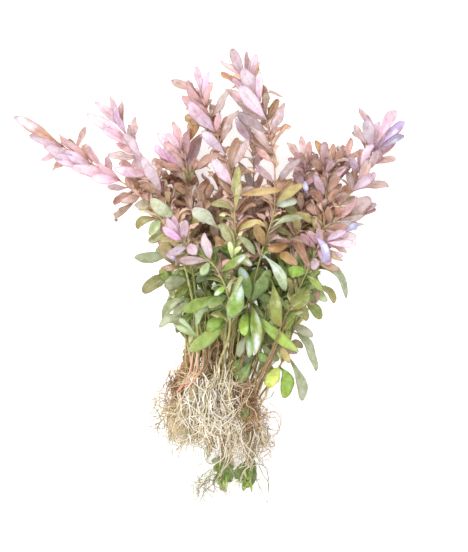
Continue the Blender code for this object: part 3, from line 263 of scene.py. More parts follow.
# Root lobes and what hangs in them: the route from the far tip to the end near the stems, the radii from
# that end to the tip, and how high the section is for its width.
LOBES = {
    "roots_left": ([(-25, -116, 6), (-21, -101, 13), (-16, -92, 17), (-12, -83, 20)],
        (3, 7, 7.5, 6.5, 4, 1.2), 1.0),
    "roots_middle": ([(-7, -142, 3), (-6, -124, 10), (-3, -108, 18), (0, -95, 26), (1, -83, 30)],
        (3, 7, 7, 6, 4.5, 3, 1), 1.0),
    "roots_column": ([(9, -123, 8), (11, -112, 11), (13, -97, 15), (12, -83, 17)],
        (2.5, 5, 5.5, 4.5, 2.5), 1.0),
    "roots_right": ([(26, -123, 7), (28, -110, 12), (28, -97, 18), (25, -84, 23)],
        (3, 6.5, 6.5, 5, 2.5), 1.0),
    "roots_front_left": ([(-14, -112, 32), (-15, -98, 43), (-12, -80, 52), (-9, -62, 55)],
        (1.5, 5, 7, 6, 1.5), 0.5),
    "roots_front_middle": ([(2, -113, 31), (1, -99, 43), (-1, -82, 53), (0, -64, 57)],
        (1.2, 4, 5.5, 4.5, 1.2), 0.6),
    "roots_front_right": ([(14, -110, 30), (14, -97, 40), (12, -82, 50), (12, -66, 56)],
        (1.2, 4, 5.5, 4.5, 1.2), 0.6),
    "debris_bark": ([(33, -93, 38), (28, -86, 44), (23, -77, 51)], (1.0, 3, 3.5, 1.2), 0.5),
    "clump_middle": ([(9, -138, 6), (9, -124.5, 8)], (1.2, 2.2, 1.8, 1.0), 1.0),
    "clump_right": ([(24, -138, 6), (25, -125, 8)], (1.2, 2.4, 2, 1.0), 1.0),
}

# How far the roots of a lobe lie from its middle line, as (x, y, z).
LOBE_SHIFTS = {"roots_middle": (3.5, 0, 0)}

# Felted brown masses between the stems' feet, as the lobes are.
FELTS = [
    ([(-24, -80, 26), (-21, -68, 32), (-15, -54, 34)], (1.5, 4, 4, 1.5), 0.8),
    ([(31, -88, 36), (25, -78, 41), (21, -68, 41), (22, -58, 38)], (2, 5, 6.5, 2), 0.7),
    ([(8, -86, 32), (8, -72, 38), (8, -56, 38)], (1.5, 5, 5, 1.5), 0.6),
    ([(0, -66, 24), (2, -50, 24), (4, -34, 24)], (2, 6, 7, 2), 0.8),
    ([(-14, -66, 22), (-13, -50, 22), (-10, -36, 24)], (2, 5, 5, 2), 0.8),
    ([(18, -66, 22), (20, -50, 22), (22, -36, 22)], (2, 5, 6, 2), 0.8),
]

# Colours of the roots and of what lies among them, of 0 to 255 as seen.
WHITE = (246, 240, 228)
CREAM = (230, 220, 194)
STRAW = (218, 204, 166)
GOLD = (216, 194, 154)
BROWN_ROOT = (192, 164, 132)
DARK_ROOT = (138, 116, 90)
RUST_ROOT = (194, 146, 118)
PINK_ROOT = (204, 176, 164)
GREY_ROOT = (164, 160, 142)
SAGE_ROOT = (158, 168, 130)
PEACH = (234, 204, 174)
SALMON = (222, 156, 130)
OCHRE = (184, 166, 106)
MOSS = (160, 162, 112)
CORE = (176, 162, 130)
FELT = (178, 144, 110)
BARK = (204, 164, 122)
PALE_ROOTS = (WHITE, CREAM, WHITE, CREAM, STRAW)
DARK_ROOTS = (BROWN_ROOT, GOLD, STRAW, DARK_ROOT, MOSS, BROWN_ROOT)
BARK_FIBRES = ((176, 136, 98), (146, 114, 84), (212, 182, 142))
OLD_STALKS = (
    (212, 188, 126), (194, 168, 114), (196, 196, 120), (224, 200, 144), (172, 144, 102), (172, 184, 112),
)

# Mats of fibre: the middle, the reach in x, y and z, how many fibres, and their colours.
MATS = [
    ((-20, -66, 36), (8, 11, 8), 120, (RUST_ROOT, BROWN_ROOT, DARK_ROOT, RUST_ROOT, GOLD)),
    ((22, -73, 43), (8, 12, 6), 120, (BROWN_ROOT, DARK_ROOT, RUST_ROOT, GOLD)),
    ((5, -58, 42), (14, 12, 7), 110, (BROWN_ROOT, GOLD, DARK_ROOT, STRAW)),
    ((-20, -86, 30), (8, 12, 9), 110, (GOLD, STRAW, STRAW, MOSS)),
    ((-7, -95, 32), (13, 7, 7), 110, (GOLD, STRAW, MOSS, CREAM)),
]

# The fibres of the bark, as the mats are.
BARK_MAT = ((28, -82, 47), (5, 6, 3), 44, BARK_FIBRES)

# Loose curled roots, as the mats are.
CURLS = [
    ((36, -102, 15), (7, 13, 7), 40, (PINK_ROOT, GREY_ROOT, PINK_ROOT, STRAW)),
    ((20, -108, 18), (5, 10, 6), 34, (PINK_ROOT, CREAM, CREAM, STRAW)),
    ((-32, -88, 16), (6, 14, 8), 34, (BROWN_ROOT, STRAW, GREY_ROOT)),
    ((-3, -136, 6), (8, 9, 3), 20, (GREY_ROOT, SAGE_ROOT, PINK_ROOT)),
    ((10, -74, 52), (15, 12, 4), 30, (CREAM, STRAW, WHITE)),
    ((-4, -90, 54), (16, 14, 4), 44, (WHITE, CREAM, WHITE)),
]

# Roots that reach the tips of a lobe: the lobe, how many to each tip, their colours, the least and most
# radius, and how far they stray.
FRINGES = [
    ("roots_left", 7, (STRAW, GOLD, PINK_ROOT, MOSS), (0.13, 0.24), 2.2),
    ("roots_front_left", 7, (STRAW, CREAM, STRAW, GOLD), (0.18, 0.3), 2.2),
    ("roots_middle", 2, (SAGE_ROOT, GREY_ROOT, STRAW), (0.18, 0.28), 1.2),
    ("roots_column", 4, (GREY_ROOT, STRAW, SAGE_ROOT), (0.26, 0.4), 1.0),
    ("roots_right", 4, (GREY_ROOT, PINK_ROOT, CREAM, STRAW), (0.26, 0.4), 1.4),
    ("roots_front_middle", 5, PALE_ROOTS, (0.2, 0.34), 2.2),
    ("roots_front_right", 5, PALE_ROOTS, (0.2, 0.34), 2.2),
]

# Single roots that lie on top of the others, each as its radius, its colour and the (x, y) it runs through.
TOP_ROOTS = [
    (0.4, WHITE, [(-13, -63), (-9, -68), (-3, -73), (-1, -79), (-1, -85), (-1, -92)]),
    (0.42, WHITE, [(-5, -60), (-2, -65), (1, -71), (0, -77), (1, -85), (5, -89), (11, -93), (16, -95),
     (19, -96)]),
    (0.38, CREAM, [(3, -55), (4, -66), (1, -72), (0, -79), (-1, -89), (-2, -98)]),
    (0.34, CREAM, [(5, -67), (8, -74), (7, -81), (8, -88), (6, -96)]),
    (0.38, WHITE, [(-15, -76), (-13, -85), (-13, -93), (-11, -98), (-5, -101), (1, -104)]),
    (0.36, CREAM, [(-20, -74), (-19, -83), (-18, -88), (-15, -93), (-13, -97)]),
    (0.36, WHITE, [(-11, -71), (-9, -79), (-7, -88), (-9, -93)]),
    (0.38, CREAM, [(-2, -80), (-2, -85), (-3, -93), (-1, -101), (5, -103), (7, -109), (7, -117), (6, -123)]),
    (0.4, CREAM, [(16, -85), (11, -89), (8, -93), (8, -102), (9, -109), (11, -116), (9, -125)]),
    (0.38, STRAW, [(19, -85), (16, -89), (13, -96), (13, -105), (13, -112), (11, -120), (7, -128)]),
    (0.3, CREAM, [(29, -58), (25, -67), (26, -73), (21, -81), (19, -85)]),
    (0.34, CREAM, [(33, -55), (31, -62), (29, -70), (25, -77), (21, -82)]),
    (0.28, STRAW, [(29, -56), (25, -60), (20, -65), (14, -69)]),
    (0.32, CREAM, [(23, -93), (19, -97), (15, -98), (13, -103), (12, -110)]),
    (0.4, CREAM, [(25, -91), (29, -95), (30, -101), (33, -105), (31, -112), (33, -119), (32, -123),
     (25, -127), (20, -135), (15, -142)]),
    (0.34, CREAM, [(30, -101), (28, -109), (25, -116), (25, -121), (23, -124), (20, -125)]),
    (0.32, STRAW, [(31, -105), (31, -115), (28, -121), (29, -125), (24, -131)]),
    (0.22, PINK_ROOT, [(21, -103), (20, -111), (21, -115), (25, -118)]),
    (0.42, PEACH, [(33, -82), (31, -83), (27, -87), (24, -90)]),
    (0.2, PINK_ROOT, [(39, -81), (45, -85), (48, -92), (47, -98)]),
    (0.26, GREY_ROOT, [(43, -73), (41, -77), (38, -79)]),
    (0.18, PINK_ROOT, [(37, -88), (43, -91), (46, -97), (44, -104), (37, -111)]),
    (0.18, PINK_ROOT, [(33, -87), (40, -88), (45, -93), (47, -101), (49, -102)]),
    (0.2, STRAW, [(31, -91), (37, -97), (35, -104), (40, -109), (43, -114)]),
    (0.16, PINK_ROOT, [(34, -92), (40, -94), (43, -100), (38, -104), (34, -100)]),
    (0.16, GREY_ROOT, [(36, -120), (40, -121), (43, -123)]),
    (0.34, SAGE_ROOT, [(33, -124), (37, -131), (39, -137), (39, -145), (39, -151)]),
    (0.22, GREY_ROOT, [(35, -121), (37, -127), (42, -138)]),
    (0.18, SAGE_ROOT, [(29, -135), (37, -133)]),
    (0.34, MOSS, [(7, -129), (0, -131), (-5, -135), (-11, -137), (-11, -143)]),
    (0.32, SAGE_ROOT, [(3, -123), (-4, -130), (-9, -135), (-13, -138)]),
    (0.3, GREY_ROOT, [(4, -126), (-2, -134), (-7, -138), (-9, -144)]),
    (0.36, MOSS, [(5, -132), (1, -138), (-3, -141), (-5, -145), (-8, -150)]),
    (0.26, GREY_ROOT, [(7, -138), (7, -145), (7, -153)]),
    (0.24, GREY_ROOT, [(8, -138), (10, -143), (13, -146)]),
    (0.26, GREY_ROOT, [(-3, -106), (-3, -111), (-2, -119), (1, -123)]),
    (0.3, GREY_ROOT, [(-16, -102), (-17, -107), (-20, -114), (-23, -121)]),
    (0.3, GREY_ROOT, [(-14, -100), (-19, -106), (-27, -109)]),
    (0.24, STRAW, [(-12, -103), (-17, -112), (-20, -117)]),
    (0.44, CREAM, [(28, -92), (22, -98), (21, -106), (24, -114), (28, -121), (22, -128), (20, -134)]),
    (0.38, GREY_ROOT, [(31, -104), (33, -114), (28, -121), (36, -125), (39, -129), (39.5, -144)]),
    (0.42, CREAM, [(13, -98), (11, -108), (9, -117), (2, -123), (-4, -134), (-10, -142)]),
    (0.4, STRAW, [(16, -101), (17, -111), (14, -120), (8, -128), (3, -137), (5, -144)]),
    (0.42, CREAM, [(19, -104), (26, -112), (31, -117), (27, -126), (24, -137)]),
    (0.36, SAGE_ROOT, [(-3, -111), (-3, -117), (0, -123), (6, -120), (16, -123)]),
    (0.36, PINK_ROOT, [(25, -98), (34, -92), (43, -86), (47, -92), (46, -101), (42, -104)]),
    (0.34, STRAW, [(34, -98), (40, -104), (45, -101), (46, -95)]),
    (0.46, GOLD, [(33, -83), (25, -90), (28, -92), (33, -98), (37, -112), (42, -120)]),
    (0.38, CREAM, [(9, -92), (13, -100), (10, -109), (12, -118), (9, -126)]),
    (0.36, STRAW, [(22, -92), (19, -101), (22, -109), (17, -117), (20, -124)]),
    (0.32, CREAM, [(20, -134), (13, -142), (10, -147)]),
    (0.26, GREY_ROOT, [(20, -134), (19, -143), (18, -147)]),
    (0.3, CREAM, [(24, -90), (18, -93), (14, -99), (16, -108), (12, -118)]),
    (0.3, WHITE, [(18, -84), (13, -92), (6, -96), (2, -103), (6, -112)]),
    (0.3, WHITE, [(12, -70), (13, -79), (15, -86), (10, -92), (11, -101)]),
    (0.34, CREAM, [(-2, -64), (5, -72), (10, -80), (16, -88), (20, -95)]),
    (0.3, WHITE, [(-17, -78), (-10, -84), (-3, -90), (4, -96), (8, -106)]),
    (0.34, WHITE, [(4, -78), (1, -84), (3, -92), (1, -99), (4, -105)]),
    (0.3, WHITE, [(-6, -74), (-4, -82), (-6, -90), (-4, -97)]),
    (0.32, CREAM, [(27, -100), (26, -107), (22, -112), (23, -119), (20, -127)]),
    (0.26, PINK_ROOT, [(-12, -44), (-19, -48), (-22, -54), (-23, -58), (-22, -61)]),
    (0.26, STRAW, [(-17, -42), (-23, -46), (-26, -55), (-28, -58)]),
    (0.26, STRAW, [(6, -37), (0, -40), (-4, -47), (-4, -55)]),
    (0.26, CREAM, [(12, -35), (9, -41), (2, -44), (0, -50), (1, -58)]),
    (0.24, STRAW, [(21, -38), (16, -41), (12, -48), (13, -56)]),
]

# Stems that end among the roots, as the roots above, each with the colour of its upper and its lower end.
END_STEMS = [
    (0.72, PEACH, SALMON, [(-11, -44), (-12, -53), (-13, -59), (-15, -63), (-19, -69), (-22, -73)]),
    (0.76, PEACH, SALMON, [(-7, -44), (-8, -52), (-9, -59), (-11, -62), (-17, -68), (-20, -72)]),
    (0.7, PEACH, SALMON, [(-4, -42), (-5, -55), (-7, -60), (-12, -67), (-17, -70)]),
    (0.66, OCHRE, STRAW, [(14, -40), (15, -51), (11, -62), (8, -71)]),
    (0.5, OCHRE, STRAW, [(19, -42), (16, -54), (13, -65), (13, -79), (16, -85)]),
    (0.46, STRAW, CREAM, [(6, -40), (4, -55), (5, -62), (0, -71), (-1, -76)]),
    (0.56, OCHRE, STRAW, [(9, -38), (10, -50), (8, -62), (5, -72)]),
    (0.6, OCHRE, OCHRE, [(33, -44), (31, -55), (31, -65), (30, -77)]),
    (0.86, CREAM, PEACH, [(34, -70), (33, -73), (32, -78)]),
    (0.92, CREAM, GOLD, [(39, -71), (37, -76), (34, -82)]),
]

# Leaves caught in the lowest roots, as the ones that are drawn below.
CLUMP_LEAVES = [
    ((18, -134, 6), (19, -128, 9), (24, -121, 9), 6, "deep"),
    ((24, -139, 5), (30, -131, 8), (28, -119, 10), 7, "deep"),
    ((21, -136, 7), (27, -130, 10), (27, -121, 10), 4, "olive"),
    ((27, -133, 6), (31, -127, 8), (29, -118, 9), 4.5, "green"),
    ((8, -142, 4), (11, -134, 8), (8, -122, 10), 5.5, "green"),
    ((12, -136, 5), (15, -128, 8), (12, -118, 10), 5, "deep"),
    ((2, -128, 7), (5, -124, 9), (10, -119, 9), 4.5, "deep"),
    ((2, -138, 3), (4, -132, 6), (7, -126, 8), 3, "deep"),
    ((5, -131, 7), (7, -126, 10), (9, -120, 10), 4, "lime"),
    ((1, -122, 8), (4, -120, 10), (9, -117, 10), 4, "grey"),
    ((15, -127, 7), (14, -123, 9), (11, -117, 10), 4, "grey"),
]

# Leaves that are drawn here: (x, y, z) of the tip, of the point that they bend towards and of the
# blade's foot, then width and tone.
EXTRA_LEAVES = [
    ((125, 115, 30), (117, 106, 34), (111, 92, 30), 7.5, "smoky"),
    ((-57, 99, 36), (-50, 93, 40), (-45, 81, 37), 6.5, "lilac"),
    ((97, 106, 26), (99, 98, 28), (105, 92, 28), 5, "mauve"),
    ((-104, 99, 17), (-96, 94, 20), (-87, 84, 18), 4.5, "rosy"),
    ((-98, 95, 18), (-90, 90, 22), (-80, 79, 20), 5, "salmon"),
    ((-31, 91, 26), (-29, 82, 28), (-17, 72, 28), 6, "hotpink"),
    ((-37, 85, 24), (-30, 80, 26), (-17, 70, 28), 6, "husk"),
    ((-30, 80, 22), (-24, 76, 26), (-15, 68, 27), 6, "rust"),
    ((-28, 96, 20), (-26, 88, 24), (-17, 78, 25), 5, "leather"),
    ((-63, 80, 26), (-56, 80, 30), (-47, 72, 34), 5, "rosy"),
    ((-53, 82, 30), (-48, 79, 34), (-44, 72, 36), 6, "mauve"),
    ((-6, 54, 36), (-8, 46, 38), (-12, 38, 33), 7, "brown"),
    ((0, 57, 32), (-4, 50, 34), (-12, 42, 33), 6.5, "leather"),
    ((-9, 50, 40), (-9, 42, 40), (-12, 33, 34), 6, "moss"),
    ((-14, 62, 30), (-14, 54, 32), (-12, 46, 33), 5, "husk"),
    ((49, 73, 42), (46, 66, 44), (43, 56, 46), 7, "brown"),
    ((55, 68, 40), (50, 62, 44), (43, 52, 46), 6, "leather"),
    ((21, 79, 42), (19, 73, 46), (15, 66, 49), 6, "husk"),
    ((24, 75, 36), (27, 68, 36), (29, 60, 33), 5, "mauve"),
    ((102, 89, 24), (103, 82, 28), (98, 72, 28), 6, "salmon"),
    ((13, -24, 70), (19, -12, 74), (20.5, -1, 66), 11, "dewy"),
    ((-1, -16, 68), (5, -12, 70), (10, -12, 66), 7, "green"),
    ((-30, 27, 66), (-30, 20, 68), (-25, 12, 57), 9, "gold"),
    ((2, 28, 50), (7, 26, 54), (13, 19, 54), 8, "amber"),
    ((3, 17, 50), (8, 17, 53), (13, 12, 54), 6.5, "rust"),
    # The first of these two neon leaves stands for a bright glossy glint, so its very pale lime is partly
    # painted highlight.
    ((13, 27, 65), (13, 21, 66), (15, 14, 62), 4, "neon"),
    ((21, 23, 65), (16, 21, 66), (15, 16, 62), 3.5, "neon"),
    ((30, 18, 58), (24, 28, 61), (17, 31, 58), 5, "grey"),
    ((15, 25, 63), (9, 33, 64), (7, 41, 58), 6.5, "olive"),
    ((30, 38, 55), (33, 31, 57), (36, 24, 52), 7, "amber"),
    ((38, 23, 55), (46, 22, 57), (53, 26, 47), 6.5, "amber"),
    ((50, -6.5, 64), (49, 10, 68), (35, 18, 53), 7.5, "washed"),
    ((46, -30, 67), (43, -15, 70), (41, 1, 60), 9, "pea"),
    ((54, -16, 71), (62, -12, 73), (64, -3, 66), 11, "pea"),
    ((66, -15, 64), (70, -11, 66), (73, -5, 62), 6, "rust"),
    ((75, 12, 73), (79, 23, 75), (69, 31, 68), 6, "violet"),
    ((68, 10, 73), (60, 22, 72), (53, 25, 50), 5.5, "brown"),
    ((58, 10, 69), (52, 18, 66), (45, 19, 50), 6.5, "amber"),
    ((51, 5, 67), (57, 9, 71), (64, 6, 66), 8, "lime"),
    ((48.5, 61, 59), (33, 61, 63), (17, 57, 57), 5.5, "amber"),
    ((-12, 46, 69), (-5, 47, 70), (6, 35, 58), 9, "frost"),
    ((17, -66, 44), (21, -62, 47), (27, -53, 45), 8, "deep"),
    ((15, -63, 42), (17, -57, 46), (22, -50, 45), 7, "green"),
    ((21, -92, 46), (25, -87, 49), (24, -80, 48), 6, "deep"),
    ((-8, 62, 34), (-6, 55, 36), (-3, 48, 32), 6, "husk"),
    ((1, 66, 30), (-2, 60, 32), (-4, 50, 30), 6, "brown"),
    ((131, 107, 27), (124, 103, 30), (114, 92, 28), 6.5, "violet"),
    ((131, 98, 25), (124, 97, 28), (113, 89, 27), 4.5, "violet"),
    ((104, 108, 30), (107, 101, 33), (109, 89, 30), 9, "lilac"),
    ((125, 83, 24), (117, 82, 27), (106, 78, 27), 3.5, "salmon"),
    ((108, 94, 33), (104, 85, 35), (101, 73, 30), 6, "lilac"),
    ((113, 89, 32), (110, 82, 34), (104, 72, 30), 6, "mauve"),
    ((-39, 82, 32), (-36, 80, 34), (-28, 76, 30), 5.5, "rosy"),
    ((-37, 92, 30), (-34, 86, 33), (-26, 80, 30), 5, "hotpink"),
    ((-17, 109, 32), (-11, 111, 34), (-3, 103, 32), 7, "amber"),
    ((-9, 72, 32), (-5, 80, 34), (3, 85, 33), 5, "brown"),
    ((12, 78, 32), (8, 85, 34), (0, 86, 33), 4, "husk"),
    ((-15, 119, 30), (-8, 116, 33), (0, 110, 32), 4, "husk"),
    ((100, 117, 30), (102, 112, 31), (105, 105, 29), 1.8, "plum"),
    ((62, 68, 39), (64, 63, 42), (66, 57, 38), 4, "violet"),
    ((98, 36, 67), (95, 38, 69), (88, 33, 66), 5, "violet"),
    ((96, 26, 66), (92, 25, 69), (87, 29, 66), 4, "violet"),
    ((-29, 21, 64), (-25, 16, 66), (-19, 14, 60), 4, "violet"),
    ((-5, 14, 62), (-6, 20, 64), (-9, 26, 60), 4.5, "violet"),
    ((-30, 60, 14), (-26, 56, 18), (-19, 50, 18), 9, "husk"),
    ((-36, 66, 14), (-31, 62, 18), (-24, 56, 20), 8, "leather"),
    ((-6, 38, 12), (-2, 33, 16), (4, 27, 16), 10, "husk"),
    ((2, 40, 12), (2, 33, 16), (8, 26, 18), 8, "moss"),
    ((35, 48, 12), (40, 42, 16), (44, 34, 16), 10, "leather"),
    ((40, 38, 12), (42, 32, 16), (46, 26, 18), 8, "husk"),
]

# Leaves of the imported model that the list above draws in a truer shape, by their tips.
REDRAWN = ((50, -6.5), (48.5, 60.5), (-29, 26), (-12, 46))

# Crumpled leaves that crowd some parts of the bunch: the middle and the reach in x and y, how high above the
# nearest stem they end, how many, their length and their tones.
CROWDS = [
    ((80, 80), (11, 13), 4, 26, 11, ("brown", "rust", "plum", "husk", "rosy")),
    ((61, 77), (9, 13), 4, 28, 9, ("rust", "rosy", "salmon", "brown", "rosy")),
    ((75, 60), (10, 9), 3, 18, 11, ("brown", "husk", "plum", "rust")),
    ((-24, 64), (11, 12), 2, 26, 11, ("husk", "brown", "leather", "rust", "moss")),
    ((-42, 62), (9, 8), 1, 12, 10, ("brown", "husk", "leather")),
    ((8, 46), (16, 8), -6, 24, 11, ("brown", "husk", "rust", "leather", "moss")),
    ((34, 46), (12, 9), -6, 18, 11, ("brown", "rust", "husk", "plum")),
    ((60, 45), (12, 9), 1, 18, 11, ("brown", "husk", "rust", "moss")),
    ((28, 62), (12, 9), -8, 14, 10, ("brown", "rust", "husk")),
    ((10, 8), (14, 8), -6, 16, 11, ("rust", "amber", "husk", "fern")),
    ((60, 22), (12, 8), 0, 16, 11, ("rust", "amber", "brown", "salmon")),
    ((108, 84), (8, 10), 2, 12, 10, ("rosy", "salmon", "pink", "mauve")),
]

# The tones of the leaves that fill the depth, from the crowns' end to the roots': (least y, tones).
FILL_TONES = [
    (80, ("husk", "dusk", "leather", "dusk", "brown")),
    (50, ("husk", "leather", "dusk", "husk", "brown")),
    (28, ("leather", "husk", "moss", "husk", "sand", "rust")),
    (10, ("moss", "leather", "fern", "husk", "fern", "deep")),
    (-25, ("fern", "deep", "moss", "fern", "sage")),
    (-200, ("fern", "moss", "fern", "husk", "deep")),
]

# The tones of the fronds in the dark clumps.
FROND_TONES = ("deep", "deep", "green", "olive", "grey", "deep")

# Colours of the stems, of 0 to 255 as seen: (least y, colour).
STEM_COLOURS = [
    (110, (206, 152, 140)), (70, (188, 150, 116)), (40, (172, 160, 106)), (10, (162, 166, 98)),
    (-30, (160, 160, 98)), (-60, (184, 170, 118)), (-200, (200, 174, 128)),
]

# Thinner stems that turn brown towards the roots, and stems that turn pale and then red there, with the
# colours of these and of the joints, and how dark the stems beneath are.
SLIM = ("pink_right", "far_right", "fan_right", "low_right", "tall_right", "rosy_right", "brown_right")
BLUSHING = ("far_left", "upper_left", "low_left", "mid_left")
SLIM_FOOT = (150, 116, 76)
BLUSH = (238, 196, 172)
BLUSH_FOOT = (224, 132, 110)
JOINT = (128, 92, 60)
UNDER_SHADE = 0.86

# Radii of a stem, and of a leaf's bare stalk, at the foot and at the far end.
STEM_FOOT, STEM_TIP = 0.9, 0.45
STALK_FOOT, STALK_TIP = 0.5, 0.35

# Of a packed leaf: the most angle around its tip, how near to the stem the foot of a short one is, where
# along it the widest ring of a short one and the shoulder of a long one lie, the share of the full width
# at the shoulder, and how near a tip is to its place in the lists above.
SHARP = math.radians(170)
FOOT_REACH = 2.9
WIDEST_AT = 0.56
SHOULDER_AT = 0.72
SHOULDER_SHARE = 0.92
TIP_MATCH = 0.6

# The turn from one leaf to the next around a stem, and the farthest that a crowding leaf is from its stem.
LEAF_TURN = 2.4
FARTHEST = 20

# How many young leaves a crown has, fronds a clump has and old stalks there are.
YOUNG_LEAVES, FRONDS, STALKS = 10, 60, 70

# Old stalks: where they lie in x, in z, and in y at the top and at the foot, and their radii.
STALK_X, STALK_Z = (-17, 30), (8, 42)
STALK_TOPS, STALK_FEET = (-34, -8), (-80, -62)
STALK_RADII = (0.3, 0.65)

# Whorls on the hidden side of a shoot: the way from one to the next, the lean of their leaves in degrees,
# and the angle between two leaves of a whorl that is open to the front.
WHORL_GAP, WHORL_LEAN, WHORL_ANGLE = (5.5, 8.5), (30, 70), 0.85

# The least height above the surface: of a blade, of a root's skin, and of the tip and the bend of a leaf
# that sprouts from a stem.
LEAST_HEIGHT = 0.15
ROOT_HEIGHT = 0.1
LEAST_TIP, LEAST_BEND = 1.5, 2.5

# Joints of a stem: the longest way without one, how far apart they are on such a way, and the least way
# between two. Then how far a joint's swelling reaches along the stem and how much it adds to the radius.
LONGEST_GAP, JOINT_GAP, LEAST_GAP = 14, (8, 12), 3
SWELL_REACH, SWELLING = 0.9, 0.3
SLIM_SHARE = 0.78

# Strands on top of the lobes: how far beside its middle line a lobe carries them, for its radius, how fast
# their height falls past that and past FAR_SIDE, and how high above a lobe they lie.
LOBE_SIDE = 1.3
FAR_SIDE = 1.8
SIDE_FALL, FAR_FALL = 0.5, 1.2
RISE = 0.6

# Roots that start on a stem: the point of its path at which stems are compared, how many of the nearest ones
# may be chosen, and the points of the path between which a root starts.
COMPARED_AT = 6
NEAR_STEMS = 4
START_POINTS = (3, 26)

# The sides of a lump, and the radius past which a root has six sides and not four.
LUMP_SIDES = 22
ROUNDED_FROM = 0.24

# What tells apart the random draws of the parts that aren't seeded by a place. Lists of lumps and tangles
# count on from the first number.
CROWD_SEED, STALK_SEED, BARK_SEED, BARK_FIBRE_SEED = 17, 21, 77, 31
CORE_SEED, FELT_SEED, LUMP_SEED_STEP = 11, 301, 7
MAT_SEED, CURL_SEED = 60, 5

# How a blade's rows end just short of its tip and how its columns crowd to its edges, and how far a packed
# leaf's foot is moved to the middle of the stem.
LAST_ROW = 0.996
COLUMN_POWER = 0.9
ROOTED = 0.6

# The surface, its own glow, the sky and the lamp, in metres and watts.
TABLE_REACH = 12.0
TABLE_BELOW = 0.0002
TABLE_GLOW = 0.52
SKY, SKY_STRENGTH = (0.97, 0.98, 1.0, 1), 1.2
LAMP_PLACE, LAMP_SIZE, LAMP_POWER = (-0.9, 0.8, 1.6), 0.9, 18


def smooth(points, step):
    """Points about a step apart on the Catmull-Rom curve through the given ones."""
    points = [np.array(p, float) for p in points]
    padded = [2 * points[0] - points[1]] + points + [2 * points[-1] - points[-2]]
    found = []
    for p0, p1, p2, p3 in zip(padded, padded[1:], padded[2:], padded[3:]):
        count = max(1, round(float(np.linalg.norm(p2 - p1)) / step))
        for i in range(count):
            t = i / count
            found.append(
                0.5 * (2 * p1 + (p2 - p0) * t + (2 * p0 - 5 * p1 + 4 * p2 - p3) * t**2
                       + (3 * p1 - p0 - 3 * p2 + p3) * t**3)
            )
    return np.array(found + [points[-1]])


def unit(vectors):
    """Each vector made one long."""
    return vectors / np.maximum(np.linalg.norm(vectors, axis=-1, keepdims=True), 1e-9)


def square_to(vectors, along):
    """The part of each vector that is square to the direction along it, made one long."""
    return unit(vectors - along * np.sum(vectors * along, axis=-1, keepdims=True))


def around(along, angle, flat=1.0):
    """The direction square to another at an angle around it, where a quarter of a turn is the upper side."""
    above = square_to(UP, along)
    return np.cross(above, along) * math.cos(angle) + above * math.sin(angle) * flat


def directions(path):
    """The way that a path runs at each of its points."""
    return unit(np.gradient(path, axis=0))


def linear(rgb):
    """A colour of 0 to 255 as seen, in the shares of light that a shader takes."""
    share = np.clip(np.asarray(rgb, float) / 255, 0, 1)
    return np.where(share <= 0.04045, share / 12.92, ((share + 0.055) / 1.055) ** 2.4)


def ease(x):
    """A soft step from 0 to 1."""
    x = np.clip(x, 0, 1)
    return x * x * (3 - 2 * x)


def mix(a, b, share):
    """What lies between a and b, at a share of the way for each point."""
    share = np.asarray(share, float)[..., None]
    return np.asarray(a, float) * (1 - share) + np.asarray(b, float) * share


def spread_over(values, count):
    """As many values as wanted, read off a list whose own values are evenly apart."""
    return np.interp(np.linspace(0, len(values) - 1, count), np.arange(len(values)), values)


def seeded(*numbers):
    """A random source that is always the same for a place; a last number tells its sources apart."""
    total = sum(round(float(n), 1) * k for n, k in zip(numbers, (9176.3, 5437.7, 311.9, 77.1)))
    return np.random.RandomState(int(abs(total)) % 2**31)


def pick(rng, choices):
    return choices[rng.randint(len(choices))]


def add_object(name, data):
    made = bpy.data.objects.new(name, data)
    bpy.context.scene.collection.objects.link(made)
    return made


def fill(collection, key, values, kind=np.float32):
    """Writes one value after another into the parts of a mesh."""
    collection.foreach_set(key, np.asarray(values).astype(kind).ravel())


class Shape:
    """Points and four-sided faces that become one mesh, with a colour and a leaf place for each point."""

    def __init__(self, name):
        self.name = name
        self.points, self.faces, self.tints, self.places = [], [], [], []
        self.count = 0

    def add(self, points, faces, tints, places):
        self.points.append(points)
        self.faces.append(np.asarray(faces) + self.count)
        self.tints.append(np.broadcast_to(tints, points.shape))
        self.places.append(np.broadcast_to(places, points.shape))
        self.count += len(points)

    def make(self, material):
        points = (np.concatenate(self.points) - MIDDLE) * MM
        faces = np.concatenate(self.faces)
        mesh = bpy.data.meshes.new(self.name)
        mesh.vertices.add(len(points))
        fill(mesh.vertices, "co", points)
        mesh.loops.add(faces.size)
        fill(mesh.loops, "vertex_index", faces, np.int32)
        mesh.polygons.add(len(faces))
        fill(mesh.polygons, "loop_start", np.arange(0, faces.size, 4), np.int32)
        fill(mesh.polygons, "use_smooth", np.ones(len(faces)), bool)
        mesh.update(calc_edges=True)
        tint = mesh.color_attributes.new("tint", "FLOAT_COLOR", "POINT")
        colours = linear(np.concatenate(self.tints))
        fill(tint.data, "color", np.c_[colours, np.ones(len(colours))])
        place = mesh.attributes.new("place", "FLOAT_VECTOR", "POINT")
        fill(place.data, "vector", np.concatenate(self.places))
        mesh.materials.append(material)
        made = add_object(self.name, mesh)
        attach(made, "root")
        return made


def grid_faces(rows, columns, first=0, turned=False, closed=False):
    """The faces of a grid of points, row by row; closed joins the last column to the first."""
    i, j = np.meshgrid(np.arange(rows - 1), np.arange(columns if closed else columns - 1), indexing="ij")
    here, beside = i * columns + j, i * columns + (j + 1) % columns
    faces = np.stack([here, here + columns, beside + columns, beside], -1).reshape(-1, 4) + first
    return faces[:, ::-1] if turned else faces


def rim_faces(rows, columns):
    """The faces that close the edge between an upper grid and the lower one that follows it."""
    border = list(range(columns)) + [i * columns + columns - 1 for i in range(1, rows)]
    border += [(rows - 1) * columns + j for j in range(columns - 2, -1, -1)]
    border += [i * columns for i in range(rows - 2, 0, -1)]
    size = rows * columns
    return [(a, b, b + size, a + size) for a, b in zip(border, border[1:] + border[:1])]


